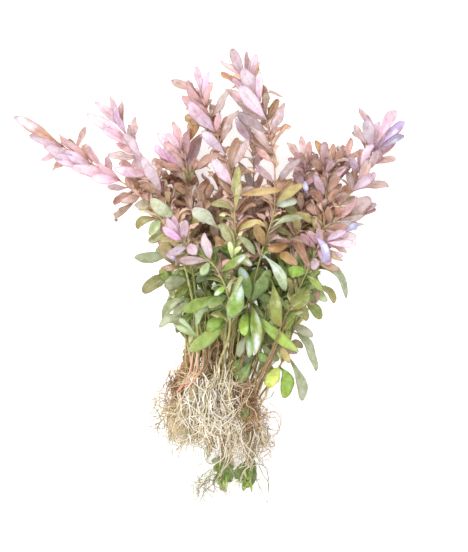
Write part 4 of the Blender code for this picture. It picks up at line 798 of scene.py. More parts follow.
def tube(shape, path, radii, tints, sides=6, places=(0, 0, 0), flat=1.0):
    """A closed tube along a path, with a radius and a colour at each of its points."""
    along = directions(path)
    lean = UP if abs(along[0] @ UP) < 0.9 else np.array((0.0, 1.0, 0.0))
    above = square_to(np.broadcast_to(lean, along.shape), along)
    across = np.cross(above, along)
    angle = 2 * math.pi * np.arange(sides) / sides
    out = across[:, None] * np.cos(angle)[:, None] + above[:, None] * (np.sin(angle) * flat)[:, None]
    points = (path[:, None] + out * np.asarray(radii)[:, None, None]).reshape(-1, 3)
    faces = grid_faces(len(path), sides, closed=True)
    last = (len(path) - 1) * sides
    ends = [(0, i + 2, i + 1, i) for i in range(1, sides - 1, 2)]
    far = [(last, last + i, last + i + 1, last + i + 2) for i in range(1, sides - 1, 2)]
    tints = np.repeat(np.broadcast_to(tints, path.shape), sides, axis=0)
    shape.add(points, np.concatenate([faces[:, ::-1], ends, far]), tints, places)


def welded(node):
    """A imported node's points, each once, in layout millimetres, and its triangles."""
    mesh = frame["nodes"][node].data
    points = np.array([v.co for v in mesh.vertices], float) / MM + MIDDLE
    points, index = np.unique(np.round(points, 3), axis=0, return_inverse=True)
    triangles = np.array([tuple(p.vertices) for p in mesh.polygons])
    return points, index.reshape(-1)[triangles]


def sharp_tips(points, triangles):
    """The points where a node comes to a tip, which are those with little angle around them."""
    total = np.zeros(len(points))
    for turn in range(3):
        a, b, c = (points[triangles[:, (turn + k) % 3]] for k in range(3))
        cosine = np.sum(unit(b - a) * unit(c - a), axis=1)
        np.add.at(total, triangles[:, turn], np.arccos(np.clip(cosine, -1, 1)))
    return np.flatnonzero(total < SHARP)


def loops_behind(tip, triangles):
    """The loops of points behind a tip, nearest first."""
    seen, last, found = {tip}, {tip}, []
    for _ in range(3):
        touching = triangles[np.isin(triangles, list(last)).any(axis=1)]
        last = set(touching.ravel().tolist()) - seen
        seen |= last
        found.append(sorted(last))
    return found


class BladeGrid:
    """The rows and columns of points that a blade is made of, over and under, and its faces."""

    def __init__(self, rows, columns):
        steps = np.linspace(-1, 1, columns)
        self.u = np.sin(np.linspace(0, 1, rows) * math.pi / 2) * LAST_ROW
        self.v = np.sign(steps) * np.abs(steps) ** COLUMN_POWER
        self.faces = np.concatenate([
            grid_faces(rows, columns),
            grid_faces(rows, columns, rows * columns, turned=True),
            np.array(rim_faces(rows, columns)),
        ])


FINE = BladeGrid(14, 7)
COARSE = BladeGrid(9, 5)


class Leaf:
    """A leaf's middle line, as a quadratic curve, with its width and the way its upper face looks."""

    def __init__(self, foot, control, tip, width, above, tone, grid=FINE):
        self.foot = np.asarray(foot, float)
        self.control = np.asarray(control, float)
        self.tip = np.asarray(tip, float)
        self.width = width
        self.above = above
        self.tone = tone
        self.grid = grid
        self.front = False
        halves = (self.control - self.foot, self.tip - self.control)
        self.length = float(sum(np.linalg.norm(half) for half in halves))
        self.rng = seeded(*tip)


def tone_at(tip):
    """The tone of the leaf that has its tip there, if it is one of those that are seen from above."""
    gaps = [(math.hypot(tip[0] - x, tip[1] - y), tone) for tone, tips in LEAF_TIPS.items() for x, y in tips]
    gap, tone = min(gaps)
    return tone if gap < TIP_MATCH else None


def fill_tone(tip):
    """A tone that suits the leaves which fill the depth there."""
    tones = next(tones for least, tones in FILL_TONES if tip[1] >= least)
    return pick(seeded(*tip), tones)


def read_leaf(points, triangles, tip, path):
    """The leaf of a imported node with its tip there, if there is one."""
    end = points[tip]
    loops = loops_behind(tip, triangles)
    if len(loops[0]) != 4 or any(math.hypot(end[0] - x, end[1] - y) < TIP_MATCH for x, y in REDRAWN):
        return None
    ring = points[loops[0]]
    width, i, j = max((np.linalg.norm(ring[i] - ring[j]), i, j) for i in range(4) for j in range(i))
    foot = points[loops[1]].mean(axis=0)
    short = np.linalg.norm(path - foot, axis=1).min() < FOOT_REACH
    t = WIDEST_AT if short else SHOULDER_AT
    if not short:
        foot = points[loops[2]].mean(axis=0)
        width = width / SHOULDER_SHARE
    foot = path[np.linalg.norm(path - foot, axis=1).argmin()] * ROOTED + foot * (1 - ROOTED)
    control = (ring.mean(axis=0) - (1 - t) ** 2 * foot - t**2 * end) / (2 * t * (1 - t))
    above = np.cross(unit(end - foot), unit(ring[i] - ring[j]))
    tone = tone_at(end)
    leaf = Leaf(foot, control, end, width, above if above[2] > 0 else -above, tone or fill_tone(end))
    leaf.front = bool(tone)
    return leaf


def read_leaves(node, path):
    """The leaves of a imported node, which stand on the path of its stem."""
    points, triangles = welded(node)
    found = [read_leaf(points, triangles, tip, path) for tip in sharp_tips(points, triangles)]
    return [leaf for leaf in found if leaf]


def outline(rng, u, ratio):
    """The share of the full width along a blade: a narrow stalk, widest past the middle, a blunt tip."""
    widest = rng.uniform(0.54, 0.68)
    stalk = rng.uniform(0.08, 0.15)
    x = np.clip((u - 0.05) / (widest - 0.05), 0, 1)
    power = np.interp(ratio, (2.2, 3.4, 4.5), (0.85, 1.5, 1.3)) + rng.uniform(-0.15, 0.25)
    rise = stalk + (1 - stalk) * np.sin(x * math.pi / 2) ** power
    x = np.clip((u - widest) / (1 - widest), 0, 1)
    bluntness = (0.6, 0.8) if ratio > 4 else (0.46, 0.6)
    fall = (1 - x ** rng.uniform(1.8, 2.4)) ** rng.uniform(*bluntness)
    return np.where(u < widest, rise, fall)


def edge_swell(rng, u, v):
    """How much wider or narrower a blade is at each point, in slow waves that differ from side to side."""
    beats = [(rng.uniform(0.03, 0.09), rng.uniform(1, 3), rng.uniform(0, 1)) for _ in range(2)]
    left, right = (1 + size * np.sin(2 * math.pi * (pace * u + start)) for size, pace, start in beats)
    return np.where(v < 0, left[:, None], right[:, None])


def middle_line(leaf, crumple):
    """A blade's middle line with its sway, arch and curl, and the directions across and above it."""
    rng, u = leaf.rng, leaf.grid.u
    t = u[:, None]
    line = (1 - t) ** 2 * leaf.foot + 2 * t * (1 - t) * leaf.control + t**2 * leaf.tip
    along = directions(line)
    above = square_to(np.broadcast_to(leaf.above, along.shape), along)
    across = np.cross(above, along)
    twist = ((u - 0.5) * rng.normal(0, 0.3 + 0.7 * crumple))[:, None]
    cosine, sine = np.cos(twist), np.sin(twist)
    above, across = above * cosine + across * sine, across * cosine - above * sine
    sway = np.sin(math.pi * u) * rng.normal(0, 0.02) * leaf.length
    arch = np.sin(math.pi * u) * rng.normal(0.01, 0.02 + 0.02 * crumple) * leaf.length
    curl = ease((u - 0.65) / 0.35) ** 1.5 * rng.normal(-0.03, 0.03 + 0.06 * crumple) * leaf.length
    return line + across * sway[:, None] + above * (arch + curl)[:, None], across, above


def blade_rise(leaf, half, crumple):
    """How far each point of a blade is above its middle line, by its fold, cup, waves and groove."""
    rng, u, v = leaf.rng, leaf.grid.u, leaf.grid.v
    side = np.abs(v)
    fold = math.tan(math.radians(rng.uniform(5, 22) + 18 * crumple * rng.uniform(-0.6, 1)))
    cup = rng.normal(-0.05, 0.14 + 0.2 * crumple)
    lift = fold * (np.sqrt(side**2 + 0.012) - 0.11) + cup * side**2
    wave = np.zeros((len(u), len(v)))
    for sign in (-1, 1):
        beat = np.sin(2 * math.pi * (rng.uniform(1.2, 2.8) * u + rng.uniform(0, 1)))
        wave += np.where(v * sign > 0, side**2, 0) * beat[:, None] * rng.uniform(0.06, 0.16 + 0.3 * crumple)
    groove = -0.2 * np.exp(-((v / 0.12) ** 2)) * ease((0.95 - u) / 0.4)[:, None]
    return half[:, None] * (lift + wave) + groove


def spot_distance(u, v, along, reach, beside):
    """The square of the distance of each point of a blade from a spot on it, for the spot's reach."""
    return ((u - along) / reach) ** 2 + ((v - beside) / 0.5) ** 2


def leaf_tints(leaf):
    """The colour at each point of a blade, from its stalk to its tip and out to its edges."""
    rng = leaf.rng
    stalk, blade, end = (np.array(c, float) for c in TONES[leaf.tone])
    u, v = np.meshgrid(leaf.grid.u, leaf.grid.v, indexing="ij")
    start, stop, highlight_at = PAINTED_HIGHLIGHT_STOPS.get(leaf.tone, (rng.uniform(0.25, 0.5), rng.uniform(0.6, 0.85), None))
    colour = mix(stalk, blade, ease(u / start))
    colour = mix(colour, end, ease((u - stop) / (1.05 - stop)) * rng.uniform(0.5, 1))
    colour = mix(colour, stalk * 0.95, ease((np.abs(v) - 0.5) / 0.5) * rng.uniform(0.15, 0.6))
    for other, most in ((stalk, 0.7), (end, 0.8)):
        away = spot_distance(u, v, rng.uniform(0.3, 0.9), rng.uniform(0.1, 0.25), rng.uniform(-0.7, 0.7))
        colour = mix(colour, other, np.exp(-away) * rng.uniform(0, most))
    # A painted sheen: a bluish-white spot of reflected light on the blade.
    if highlight_at:
        away = spot_distance(u, v, highlight_at, 0.14, rng.uniform(-0.4, 0.4))
        colour = mix(colour, PAINTED_SHEEN, np.exp(-away**2))
    # Painted light: the hidden leaves on the coarse grid are tinted paler the deeper their tips lie.
    depth = 0 if leaf.grid is FINE else np.clip((SHALLOW - leaf.tip[2]) / (SHALLOW - DEEPEST), 0, 1)
    deep = DEEP_BROWN_GAIN if leaf.tone in CRUMPLED else DEEP_GAIN
    shade = 1 + depth * (deep - 1) + rng.normal(0, 0.06) + rng.normal(0, 0.018, 3)
    return (colour * shade).reshape(-1, 3)


def add_leaf(shape, leaf):
    """A thin closed blade that follows the leaf's middle line, with a fold, waves, a twist and a curl."""
    u, v = leaf.grid.u, leaf.grid.v
    crumple = CRUMPLED.get(leaf.tone, FLATTER)
    half = leaf.width / 2 * outline(leaf.rng, u, leaf.length / leaf.width)
    spread = half[:, None] * v * edge_swell(leaf.rng, u, v)
    line, across, above = middle_line(leaf, crumple)
    rise = blade_rise(leaf, half, crumple)
    top = line[:, None] + across[:, None] * spread[..., None] + above[:, None] * rise[..., None]
    rib = 0.25 * np.exp(-((v / 0.16) ** 2)) * ease((0.9 - u) / 0.6)[:, None]
    low = top - above[:, None] * (0.13 + 0.15 * (1 - np.abs(v)) + rib)[..., None]
    points = np.concatenate([top.reshape(-1, 3), low.reshape(-1, 3)])
    points[:, 2] = np.maximum(points[:, 2], LEAST_HEIGHT)
    tints = leaf_tints(leaf)
    place = np.stack(np.broadcast_arrays(u[:, None], v, leaf.rng.uniform(0, 50)), -1).reshape(-1, 3)
    tints = np.concatenate([tints, tints * UNDERSIDE])
    shape.add(points, leaf.grid.faces, tints, np.tile(place, (2, 1)))


def add_leaves(shape, leaves):
    for leaf in leaves:
        add_leaf(shape, leaf)


def in_view_gap(x, y):
    """Whether a leaf that fills the depth would show there in a gap, or past the edge of the bunch."""
    rows = np.array(EDGES, float)
    left, right = (np.interp(y, rows[:, 0], rows[:, k]) for k in (1, 2))
    if not left < x < right:
        return True
    return any(((x - gx) / w) ** 2 + ((y - gy) / h) ** 2 < 1 for gx, gy, w, h in GAPS)


def sprout(root, along, out, lean, size, width, tone=None):
    """A leaf that leaves a stem at a lean, bends away from it and stays above the ground."""
    tip = root + (along * math.cos(lean) + out * math.sin(lean)) * size
    tip[2] = max(tip[2], LEAST_TIP)
    control = root + (along * math.cos(lean * 0.6) + out * math.sin(lean * 0.6)) * size * 0.5
    control[2] = max(control[2], LEAST_BEND)
    above = unit(along * 0.9 - out * 0.4 + UP * 0.4)
    return Leaf(root, control, tip, width, above, tone or fill_tone(tip), COARSE)


def clear_of_gaps(leaf):
    middle = (leaf.foot + 2 * leaf.control + leaf.tip) / 4
    return not in_view_gap(*leaf.tip[:2]) and not in_view_gap(*middle[:2])


def fill_leaves(name, path):
    """Leaves in whorls on the hidden side of a shoot, which fill the depth between the others."""
    rng = seeded(*path[0], len(name))
    under = name.startswith("under")
    first, count, sizes = (0.24, 6, (11, 22)) if under else (0.4, 4, (10, 20))
    along = directions(path)
    found = []
    s = len(path) * first + rng.uniform(0, 6)
    turn = rng.uniform(0, 6)
    while s < len(path) - 4:
        i = int(s)
        for k in range(count):
            if under:
                angle = turn + math.tau * k / count
            else:
                angle = -math.pi / 2 + (k - 1.5) * WHORL_ANGLE + rng.normal(0, 0.2)
            size = rng.uniform(*sizes)
            lean = math.radians(rng.uniform(*WHORL_LEAN))
            found.append(sprout(path[i], along[i], around(along[i], angle), lean, size, 0.27 * size + 1.2))
        s += rng.uniform(*WHORL_GAP)
        turn += LEAF_TURN
    return [leaf for leaf in found if clear_of_gaps(leaf)]


def young_leaves(path, tones):
    """The tight tuft of young leaves at a shoot's tip, and the small ones in the axils below it."""
    rng = seeded(*path[-1], 5)
    along = directions(path)
    found = []
    turn = rng.uniform(0, 6)
    for k in range(YOUNG_LEAVES):
        i = max(len(path) - 1 - int(k * 1.5), 0)
        turn += LEAF_TURN
        size = (3.2 + 0.35 * k) * rng.uniform(0.8, 1.25)
        lean = math.radians(rng.uniform(12, 26) + 2.2 * k)
        tone = pick(rng, tones)
        found.append(sprout(path[i], along[i], around(along[i], turn), lean, size, 0.2 * size + 0.5, tone))
    return found


def placed_leaf(tip, control, foot, width, tone):
    return Leaf(foot, control, tip, width, UP, tone)


def nearest_stem(point):
    """The name of the shoot that passes nearest to a point, and the nearest point of its stem."""
    gaps = {name: np.linalg.norm(path - point, axis=1) for name, path in PATHS.items()}
    name = min(gaps, key=lambda name: gaps[name].min())
    return name, PATHS[name][gaps[name].argmin()]


def crowd(rng, middle, reach, lift, count, size, tones):
    """Small leaves that reach from the stems below to places spread over a part of the bunch."""
    found = []
    for _ in range(count):
        x, y = np.array(middle) + np.array(reach) * rng.uniform(-1, 1, 2)
        if in_view_gap(x, y):
            continue
        gaps = {name: np.hypot(path[:, 0] - x, path[:, 1] - y) for name, path in PATHS.items()}
        name = min(gaps, key=lambda name: gaps[name].min())
        path, i = PATHS[name], int(gaps[name].argmin())
        out = np.array((x, y, path[i][2] + lift)) - path[i]
        if float(np.linalg.norm(out)) > FARTHEST:
            continue
        foot = path[max(i - int(size * 0.6), 0)]
        tip = foot + unit(path[i] + out - foot) * size * rng.uniform(0.7, 1.3) + rng.normal(0, 1, 3)
        control = (foot + tip) / 2 + UP * rng.uniform(0, 3) + rng.normal(0, 1.2, 3)
        width = 0.24 * size + rng.uniform(0.5, 2.2)
        above = unit(UP + rng.normal(0, 0.5, 3))
        found.append((name, Leaf(foot, control, tip, width, above, pick(rng, tones))))
    return found


def add_leaf_stalk(shape, leaf, start):
    """The bare stalk between a stem and a blade's foot."""
    bend = (start + leaf.foot) / 2 + (leaf.foot - leaf.control) * 0.2
    path = smooth([start, bend, leaf.foot, leaf.foot * 0.8 + leaf.control * 0.2], 1.2)
    tint = np.array(TONES[leaf.tone][0]) * 0.94
    tube(shape, path, np.linspace(STALK_FOOT, STALK_TIP, len(path)), tint, places=(0.3, 0.5, 0))


def stem_colours(name, path, rng):
    """The colour of a stem at each point of its path."""
    y = path[:, 1]
    heights, colours = zip(*STEM_COLOURS[::-1])
    tint = np.stack([np.interp(y, heights, channel) for channel in zip(*colours)], -1)
    if name.startswith("under"):
        tint = tint * UNDER_SHADE
    if name in SLIM:
        tint = mix(tint, SLIM_FOOT, ease((5 - y) / 30) * 0.8)
    if name in BLUSHING:
        tint = mix(tint, BLUSH, ease((-30 - y) / 25) * 0.8)
        tint = mix(tint, BLUSH_FOOT, ease((-58 - y) / 12) * 0.8)
    return tint * (1 + rng.normal(0, 0.05))


def joints(rng, feet):
    """Where a stem has its joints: at the feet of its leaves, and between them where they are far apart."""
    found = [0.0]
    for foot in feet:
        while foot - found[-1] > LONGEST_GAP:
            found.append(found[-1] + rng.uniform(*JOINT_GAP))
        if foot - found[-1] > LEAST_GAP:
            found.append(foot)
    return np.array(found)


def add_stem(shape, name, path, leaves):
    """A stem with a swelling and a darker scar at each joint, along its packed tube."""
    step = 0.8
    rng = seeded(*path[-1], 3)
    reach = np.arange(0, len(path) - 1, step)
    fine = np.stack([np.interp(reach, np.arange(len(path)), path[:, k]) for k in range(3)], -1)
    feet = sorted(float(np.linalg.norm(fine - leaf.foot, axis=1).argmin()) * step for leaf in leaves)
    near = np.min(np.abs(reach[:, None] - joints(rng, feet + [reach[-1]])), axis=1)
    swell = np.exp(-((near / SWELL_REACH) ** 2))
    share = reach / reach[-1]
    foot = STEM_FOOT * (SLIM_SHARE if name in SLIM else 1)
    radii = (foot - (foot - STEM_TIP) * share) * (1 + SWELLING * swell) * np.where(share > 0.985, 0.6, 1)
    tint = mix(stem_colours(name, fine, rng), JOINT, swell * 0.5)
    sway = np.cumsum(rng.normal(0, 0.06, fine.shape), axis=0)
    sway -= np.linspace(0, 1, len(sway))[:, None] * sway[-1]
    tube(shape, fine + np.clip(sway, -0.6, 0.6), radii, tint, sides=8, places=(0, 0, rng.uniform(0, 50)))


def root_path(points, step, thick):
    """A smooth path through the points that keeps a root of that radius off the ground."""
    path = smooth(points, step)
    path[:, 2] = np.maximum(path[:, 2], thick + ROOT_HEIGHT)
    return path


def strand(shape, points, rng, thick, tint, end=0.4, jitter=1.0):
    """A thin wiry root through the points, which it strays from a little."""
    points = [np.array(p, float) + rng.normal(0, jitter, 3) * (1 if i else 0.3) for i, p in enumerate(points)]
    path = root_path(points, 1.6, thick)
    share = np.linspace(0, 1, len(path))
    beat = 1 + 0.14 * np.sin(np.arange(len(path)) * rng.uniform(0.7, 1.3))
    upper = np.array(tint) * (1 + rng.normal(0, 0.06))
    tints = mix(upper, upper * (0.95, 0.9, 0.82), share**2)
    sides = 6 if thick > ROUNDED_FROM else 4
    radii = thick * (np.linspace(1, end, len(path)) * beat)
    tube(shape, path, radii, tints, sides=sides, places=(0, 0, rng.uniform(0, 50)))


class Lobe:
    """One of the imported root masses: its middle line from the stems' end to the tip, and its section."""

    def __init__(self, name, least=0.0):
        points, radii, self.flat = LOBES[name]
        self.radii = (max(radii[0], least),) + tuple(radii[1:])
        self.path = smooth(points, 1.0)[::-1] + np.array(LOBE_SHIFTS.get(name, (0, 0, 0)), float)

    def place(self, share, angle, reach):
        """The point that far along it, at that angle around it and that far out; 1 is its skin."""
        i = min(share, 1) * (len(self.path) - 1.001)
        k = int(i)
        step = self.path[k + 1] - self.path[k]
        middle = self.path[k] + step * (i - k) + step * max(share - 1, 0) * len(self.path)
        radius = np.interp(share * (len(self.radii) - 1), np.arange(len(self.radii)), self.radii)
        return middle + around(unit(step), angle, self.flat) * radius * reach


PATHS = {name: smooth(points, 1.0)[::-1] for name, points in ROUTES.items()}
ALL_LOBES = [Lobe(name) for name in LOBES]


def root_start(rng, point):
    """A point near the foot of one of the stems that are above a place in the beard."""
    def away(path):
        x, _, z = np.abs(path[COMPARED_AT] - point)
        return x + 0.4 * z

    near = sorted(PATHS.values(), key=away)
    return near[rng.randint(NEAR_STEMS)][rng.randint(*START_POINTS)]


def beard(shape, name, count, colours, stop, reach, start=(0.0, 0.2), thick=(0.2, 0.34), jitter=1.1,
          from_stems=0.4, least=0.0):
    """Roots that grow from the stems' lower joints and run down a lobe of the beard."""
    lobe = Lobe(name, least)
    rng = seeded(*lobe.path[0], count)
    for _ in range(count):
        first, last = rng.uniform(*start), rng.uniform(*stop)
        angle = rng.uniform(0, 2 * math.pi)
        turn = rng.normal(0, 1.3)
        out = rng.uniform(*reach)
        steps = max(3, int((last - first) * len(lobe.path) / 4.5))
        way = []
        if rng.uniform() < from_stems:
            top = lobe.place(first, angle, out)
            begin = root_start(rng, top)
            way += [begin, begin * 0.45 + top * 0.55 + UP * 1.2]
        for k in range(steps + 1):
            share = first + (last - first) * k / steps
            way.append(lobe.place(share, angle + turn * k / steps, out * (1 + 0.2 * rng.normal())))
        tint = pick(rng, colours)
        strand(shape, way, rng, rng.uniform(*thick), tint, jitter=jitter)


def fringe(shape, name, count, colours, thick, spread):
    """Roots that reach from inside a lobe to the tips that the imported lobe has."""
    lobe = Lobe(name)
    corners, triangles = welded(name)
    for tip in corners[sharp_tips(corners, triangles)]:
        rng = seeded(*tip, count)
        nearest = int(np.linalg.norm(lobe.path - tip, axis=1).argmin())
        for k in range(count):
            base = lobe.path[max(nearest - rng.randint(2, 14), 0)] + rng.normal(0, 2, 3)
            short = rng.uniform(0.55, 1) if k else 1
            end = base + (tip - base) * short + rng.normal(0, spread, 3) * (1 if k else 0.2) * (1, 1, 0.4)
            between = [base + (end - base) * share + rng.normal(0, 1.4, 3) for share in (0.3, 0.6, 0.8)]
            radius = rng.uniform(*thick)
            strand(shape, [base, *between, end], rng, radius, pick(rng, colours), end=0.35, jitter=0.5)


def tangle(shape, middle, size, count, colours, seed, thick, drift=(0, -0.8, 0), bend=0.75):
    """A loose tangle of thin curled fibres inside an ellipsoid, which run mostly one way."""
    rng = np.random.RandomState(seed)
    for _ in range(count):
        point = np.array(middle) + np.clip(rng.normal(0, 0.5, 3), -1, 1) * size
        heading = unit(rng.normal(0, 1, 3) * (1, 1, 0.4) + np.array(drift))
        way = [point]
        for _ in range(rng.randint(3, 7)):
            pull = (np.array(middle) - point) / size * 0.25
            heading = unit(heading + rng.normal(0, bend, 3) * (1, 1, 0.5) + np.array(drift) * 0.3 + pull)
            point = point + heading * rng.uniform(3, 5.5)
            way.append(point)
        radius = rng.uniform(*thick)
        strand(shape, way, rng, radius, pick(rng, colours), jitter=0.3)


def over_beard(x, y):
    """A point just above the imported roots, or a little lower the farther it is from them."""
    best = 1.0
    for lobe in ALL_LOBES:
        radii = spread_over(lobe.radii, len(lobe.path))
        away = np.hypot(lobe.path[:, 0] - x, lobe.path[:, 1] - y) / (radii * LOBE_SIDE)
        tops = lobe.path[:, 2] + radii * lobe.flat * np.sqrt(np.clip(1 - away**2, 0, 1))
        fall = SIDE_FALL * np.clip(away - 1, 0, None) + FAR_FALL * np.clip(away - FAR_SIDE, 0, None)
        best = max(best, float((tops - fall * radii).max()))
    return np.array((x, y, best + RISE))


def lay_over(shape, rows, jitter):
    """Strands over the beard: (radius, colour of its upper end, of its lower end, points as (x, y))."""
    for thick, upper, lower, points in rows:
        rng = seeded(*points[0], *points[-1])
        path = root_path([over_beard(*p) + rng.normal(0, jitter, 3) for p in points], 1.4, thick)
        share = np.linspace(0, 1, len(path))
        beat = 1 + 0.16 * np.sin(np.arange(len(path)) * rng.uniform(0.5, 0.9))
        tints = mix(upper, lower, ease(share))
        tube(shape, path, thick * beat * (1 - 0.35 * share), tints, places=(0, 0, rng.uniform(0, 50)))


def waves(points, seed, size):
    """A smooth bumpy height at each point, from a few waves that run in many directions."""
    rng = np.random.RandomState(seed)
    total = np.zeros(len(points))
    for k in range(5):
        direction = unit(rng.normal(0, 1, 3)) * (2 * math.pi / (size / (1 + 0.6 * k)))
        total += np.sin(points @ direction + rng.uniform(0, 6.28)) / (1 + 0.6 * k)
    return total / 2


def add_lump(shape, path, radii, flat, seed, tint):
    """A rough felted mass along a path."""
    radius = np.maximum(spread_over(radii, len(path)), 0.4)
    tube(shape, path, radius, tint, sides=LUMP_SIDES, places=(0, 0, seed), flat=flat)
    points = shape.points[-1]
    middle = np.repeat(path, LUMP_SIDES, axis=0)
    swell = 1 + 0.26 * waves(points, seed, 8) + 0.2 * waves(points, seed + 1, 2.6)
    points = middle + (points - middle) * np.clip(swell, 0.45, 1.6)[:, None]
    points[:, 2] = np.maximum(points[:, 2], 0.3)
    shape.points[-1] = points
    shade = 1 + 0.2 * waves(points, seed + 2, 6)
    shape.tints[-1] = shape.tints[-1] * shade[:, None]


class Nodes:
    """A short way to write the node tree of one material."""

    def __init__(self, name):
        self.material = bpy.data.materials.new(name)
        self.material.use_nodes = True
        self.tree = self.material.node_tree
        self.shader = self.tree.nodes["Principled BSDF"]
        self.place = self.add("TexCoord").outputs["Object"]

    def add(self, kind, settings=None, **inputs):
        node = self.tree.nodes.new("ShaderNode" + kind)
        for key, value in (settings or {}).items():
            setattr(node, key, value)
        for key, value in inputs.items():
            self.set(node.inputs[int(key[1:]) if key[0] == "_" else key.replace("_", " ")], value)
        return node

    def set(self, socket, value):
        if isinstance(value, bpy.types.NodeSocket):
            self.tree.links.new(value, socket)
        else:
            socket.default_value = value

    def math(self, operation, a, b=0.0):
        return self.add("Math", {"operation": operation}, _0=a, _1=b).outputs[0]

    def times(self, a, b):
        return self.math("MULTIPLY", a, b)

    def attribute(self, name, output):
        return self.add("Attribute", {"attribute_name": name}).outputs[output]

    def tint(self):
        return self.attribute("tint", "Color")

    def noise(self, scale, detail, roughness=0.5, place=None):
        where = self.place if place is None else place
        node = self.add("TexNoise", Scale=scale, Detail=detail, Roughness=roughness, Vector=where)
        return node.outputs["Fac"]

    def stretched(self, share):
        """The place on the object, with what follows it drawn out along the shoots."""
        return self.add("Mapping", Vector=self.place, Scale=(1.0, share, 1.0)).outputs[0]

    def ramp(self, value, low, high, start=0.0, end=1.0):
        node = self.add("MapRange", {"interpolation_type": "SMOOTHSTEP"}, Value=value)
        for key, number in (("From Min", low), ("From Max", high), ("To Min", start), ("To Max", end)):
            node.inputs[key].default_value = number
        return node.outputs["Result"]

    def blend(self, kind, share, under, colour):
        settings = {"data_type": "RGBA", "blend_type": kind, "clamp_result": True}
        return self.add("Mix", settings, _0=share, _6=under, _7=(*colour, 1)).outputs[2]

    def darker(self, share, under, colour):
        return self.blend("MULTIPLY", share, under, colour)

    def bump(self, height, strength, distance, **more):
        node = self.add("Bump", Height=height, Strength=strength, Distance=distance, **more)
        return node.outputs["Normal"]

    def finish(self, **inputs):
        for key, value in inputs.items():
            self.set(self.shader.inputs[key.replace("_", " ")], value)
        return self.material


def leaf_material(name, glow, coat, rib_tint):
    """A thin damp leaf: its own tint, a midrib, fine side veins, brown edges, mottles partly of painted shade
    and light, and a soft gloss.
    """
    n = Nodes(name)
    length, across, _ = n.add("SeparateXYZ", Vector=n.attribute("place", "Vector")).outputs
    away = n.math("ABSOLUTE", across)
    rib = n.times(n.ramp(away, 0.03, 0.11, 1.0, 0.0), n.ramp(length, 0.6, 1.0, 1.0, 0.2))
    slant = n.math("SUBTRACT", n.times(length, 52.0), n.times(away, 7.0))
    vein = n.math("SINE", n.math("ADD", slant, n.times(n.noise(260.0, 2.0), 5.0)))
    vein = n.times(n.ramp(vein, 0.7, 1.0), n.ramp(away, 0.05, 0.9, 1.0, 0.25))
    mottle_and_painted_light = n.noise(190.0, 4.0, 0.6)
    rim = n.times(n.ramp(away, 0.72, 1.0), n.ramp(n.noise(60.0, 2.0), 0.4, 0.6, 0.15, 0.8))
    # Painted shade and light: darker patches where the mottle noise is high and lighter ones where it is low,
    # partly the leaf's own mottling.
    colour = n.darker(n.ramp(mottle_and_painted_light, 0.44, 0.68, 0.0, 0.8), n.tint(), (0.74, 0.64, 0.58))
    colour = n.blend("SCREEN", n.ramp(mottle_and_painted_light, 0.5, 0.3, 0.0, 0.5), colour, (0.2, 0.2, 0.22))
    colour = n.darker(n.times(vein, 0.3), colour, (0.78, 0.66, 0.58))
    colour = n.darker(n.times(rib, 0.7), colour, rib_tint)
    colour = n.darker(rim, colour, (0.62, 0.46, 0.36))
    colour = n.darker(n.ramp(length, 0.9, 1.0, 0.0, 0.6), colour, (0.66, 0.5, 0.42))
    height = n.math("ADD", n.times(vein, -0.6), n.times(mottle_and_painted_light, 0.9))
    fine = n.bump(n.noise(1500.0, 2.0), 0.2, 0.00008)
    return n.finish(
        Base_Color=colour, Normal=n.bump(height, 0.45, 0.0004, Normal=fine),
        Roughness=n.ramp(mottle_and_painted_light, 0.3, 0.7, 0.3, 0.52), Subsurface_Weight=glow,
        Subsurface_Radius=(0.0018, 0.0012, 0.0009), Subsurface_Scale=1.0, Coat_Weight=coat,
        Coat_Roughness=0.18, IOR=1.4,
    )


def stem_material():
    """A smooth jointed stem with fine streaks along it."""
    n = Nodes("stem_skin")
    streak = n.noise(700.0, 3.0, place=n.stretched(0.12))
    colour = n.darker(n.ramp(streak, 0.45, 0.7, 0.0, 0.5), n.tint(), (0.74, 0.62, 0.5))
    colour = n.blend("SCREEN", n.ramp(n.noise(120.0, 3.0), 0.5, 0.75, 0.0, 0.35), colour, (0.2, 0.2, 0.16))
    return n.finish(
        Base_Color=colour, Normal=n.bump(streak, 0.5, 0.0002), Roughness=n.ramp(streak, 0.3, 0.7, 0.32, 0.5),
        Subsurface_Weight=0.15, Subsurface_Radius=(0.0015, 0.001, 0.0006), Subsurface_Scale=1.0,
        Coat_Weight=0.2, Coat_Roughness=0.2,
    )


def root_material():
    """Pale wiry roots, a little see-through, with dirt that clings in places."""
    n = Nodes("root_skin")
    grain = n.noise(1800.0, 2.0)
    colour = n.darker(n.ramp(n.noise(95.0, 4.0, 0.65), 0.5, 0.72, 0.0, 0.6), n.tint(), (0.68, 0.54, 0.4))
    colour = n.darker(n.ramp(grain, 0.4, 0.8, 0.0, 0.25), colour, (0.8, 0.72, 0.6))
    return n.finish(
        Base_Color=colour, Normal=n.bump(grain, 0.4, 0.00012), Roughness=n.ramp(grain, 0.3, 0.7, 0.4, 0.62),
        Subsurface_Weight=0.05, Subsurface_Radius=(0.0003, 0.0003, 0.0002), Subsurface_Scale=1.0,
    )


def felt_material():
    """Brown matted fibres and grit between the roots."""
    n = Nodes("felted_dirt")
    fibre = n.noise(900.0, 6.0, 0.75, n.stretched(0.3))
    lump = n.noise(220.0, 5.0, 0.6)
    colour = n.darker(n.ramp(fibre, 0.35, 0.6, 0.9, 0.0), n.tint(), (0.5, 0.4, 0.3))
    colour = n.blend("MIX", n.ramp(lump, 0.55, 0.75, 0.0, 0.5), colour, (0.42, 0.26, 0.12))
    normal = n.bump(fibre, 0.9, 0.0008, Normal=n.bump(lump, 0.8, 0.0016))
    return n.finish(
        Base_Color=colour, Normal=normal, Roughness=n.ramp(fibre, 0.3, 0.7, 0.7, 0.9), Subsurface_Weight=0.0,
    )


